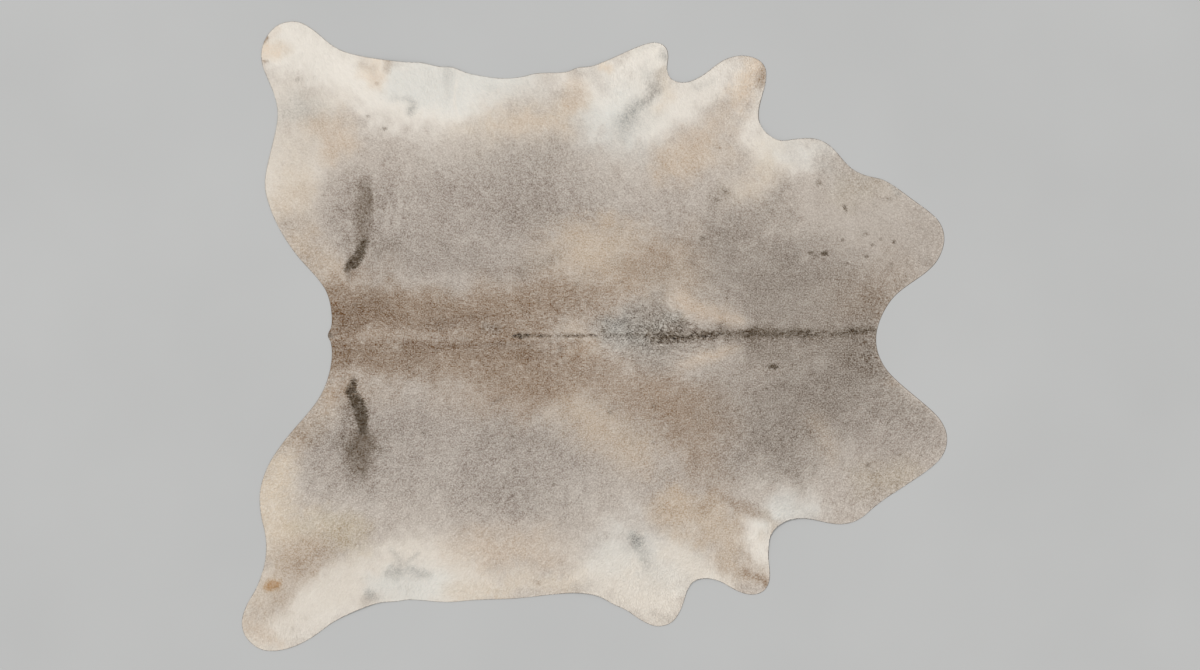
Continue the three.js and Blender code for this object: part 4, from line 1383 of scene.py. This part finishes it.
def coat_band(name, corners, paint, material):
    """One band of the coat, with a small place of its own for each lock on the baking map."""
    count = len(corners)
    mesh = bpy.data.meshes.new(name)
    mesh.vertices.add(4 * count)
    mesh.vertices.foreach_set("co", (corners * MM).ravel())
    mesh.loops.add(6 * count)
    mesh.polygons.add(2 * count)
    halves = np.array([0, 3, 2, 0, 2, 1])
    around = (4 * np.arange(count)[:, None] + halves).ravel()
    mesh.loops.foreach_set("vertex_index", around)
    mesh.polygons.foreach_set("loop_start", np.arange(0, 6 * count, 3))
    mesh.update(calc_edges=True)
    # Each lock darkens towards its root: painted shade under the locks above it.
    painted_shades = np.ones((4 * count, 4))
    painted_shades[:, :3] = np.tile(LOCK_PAINTED_SHADES, count)[:, None]
    paint_points(mesh, np.repeat(paint, 4, axis=0) * painted_shades)
    baking = mesh.uv_layers.new(name="OFBake")
    baking.data.foreach_set("uv", lock_cells(corners)[:, halves].ravel())
    mesh.materials.append(material)
    return new_piece(name, mesh)


def lock_cells(corners):
    """A cell of the baking map for each lock, so that locks that lie close stay close on it."""
    count = len(corners)
    side = math.ceil(math.sqrt(count))
    by_row = np.argsort(corners[:, 0, 1], kind="stable")
    cells = np.empty((count, 2))
    for row in range(math.ceil(count / side)):
        locks = by_row[row * side:(row + 1) * side]
        locks = locks[np.argsort(corners[locks, 0, 0], kind="stable")]
        cells[locks, 0] = np.arange(len(locks))
        cells[locks, 1] = row
    kite = np.array([(0.18, 0.5), (0.5, 0.82), (0.82, 0.5), (0.5, 0.18)])
    return (cells[:, None, :] + kite) / side


def make_stage(context):
    """A plain pale floor, soft studio light from the upper left, and the camera straight above."""
    scene = context.scene
    mesh = bpy.data.meshes.new("floor")
    corners = [(FLOOR_REACH * a, FLOOR_REACH * b, 0) for a, b in ((-1, -1), (1, -1), (1, 1), (-1, 1))]
    mesh.from_pydata(corners, [], [(0, 1, 2, 3)])
    floor = bpy.data.objects.new("floor", mesh)
    scene.collection.objects.link(floor)
    material, tree, shader = new_material("pale painted floor")
    paint = blend_colours(tree, noise(tree, 1.3, detail=3.0), *FLOOR_COLOURS)
    add_link(tree, paint, shader.inputs["Base Color"])
    shader.inputs["Roughness"].default_value = 0.6
    shader.inputs["Specular IOR Level"].default_value = 0.2
    mesh.materials.append(material)

    world = bpy.data.worlds.new("studio")
    world.use_nodes = True
    backdrop = world.node_tree.nodes["Background"]
    backdrop.inputs["Color"].default_value = ROOM_COLOUR
    backdrop.inputs["Strength"].default_value = ROOM_STRENGTH
    scene.world = world

    key = bpy.data.objects.new("key light", bpy.data.lights.new("key light", "SUN"))
    key.data.energy = KEY_STRENGTH
    key.data.angle = math.radians(KEY_ANGLE)
    key.data.color = KEY_COLOUR
    key.rotation_euler = Vector(KEY_TOWARDS).to_track_quat("-Z", "Y").to_euler()
    scene.collection.objects.link(key)

    view_width = IMAGE_SIZE[0] * MM_PER_PIXEL * MM
    height = view_width * LENS / SENSOR_WIDTH
    camera = bpy.data.objects.new("camera", bpy.data.cameras.new("camera"))
    camera.data.lens = LENS
    camera.data.sensor_width = SENSOR_WIDTH
    camera.data.clip_end = 200.0
    across = (IMAGE_SIZE[0] / 2 - MIDDLE_PIXEL[0]) * MM_PER_PIXEL * MM
    up = (MIDDLE_PIXEL[1] - IMAGE_SIZE[1] / 2) * MM_PER_PIXEL * MM
    camera.location = (across, up, height)
    scene.collection.objects.link(camera)
    scene.camera = camera
    scene.view_settings.view_transform = "Standard"


class COWHIDE_OT_stage(Operator):
    """Make the floor, the soft light and the camera"""

    bl_idname = "cowhide.stage"
    bl_label = "Floor, light and camera"

    def execute(self, context):
        make_stage(context)
        return {"FINISHED"}


class COWHIDE_OT_hide(Operator):
    """Make the skin with its cut edge and flesh side"""

    bl_idname = "cowhide.hide"
    bl_label = "Skin"

    def execute(self, context):
        if HIDE_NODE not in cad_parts:
            raise RuntimeError("The packed model has no node named " + HIDE_NODE)
        make_hide(context)
        return {"FINISHED"}


class COWHIDE_OT_coat(Operator):
    """Make the coat of short lying hair over the skin"""

    bl_idname = "cowhide.coat"
    bl_label = "Coat"

    def execute(self, context):
        skin = bpy.data.objects.get("hide_skin")
        if skin is None:
            raise RuntimeError("The skin has to be made before its coat")
        pieces = make_coat(context)
        return {"FINISHED"}


class COWHIDE_PT_maker(Panel):
    """Steps, sizes and colours of the cowhide rug"""

    bl_idname = "COWHIDE_PT_maker"
    bl_label = "Cowhide rug"
    bl_space_type = "VIEW_3D"
    bl_region_type = "UI"
    bl_category = "Cowhide"

    def draw(self, context):
        layout = self.layout
        for step in STEPS:
            layout.operator(step.bl_idname)
        for group in (context.scene.cowhide_sizes, context.scene.cowhide_colours):
            box = layout.box()
            for name in group.__annotations__:
                box.prop(group, name)


STEPS = (COWHIDE_OT_stage, COWHIDE_OT_hide, COWHIDE_OT_coat)
CLASSES = (CowhideSizes, CowhideColours, *STEPS, COWHIDE_PT_maker)


def register():
    """Registers the classes and hangs their settings on the scene."""
    for cls in CLASSES:
        bpy.utils.register_class(cls)
    bpy.types.Scene.cowhide_sizes = PointerProperty(type=CowhideSizes)
    bpy.types.Scene.cowhide_colours = PointerProperty(type=CowhideColours)


def unregister():
    """Takes the settings and the classes away again."""
    del bpy.types.Scene.cowhide_colours
    del bpy.types.Scene.cowhide_sizes
    for cls in reversed(CLASSES):
        bpy.utils.unregister_class(cls)


def main():
    """Makes the whole scene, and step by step."""
    register()
    bpy.ops.cowhide.stage()
    bpy.ops.cowhide.hide()
    bpy.ops.cowhide.coat()


if __name__ == "__main__":
    main()
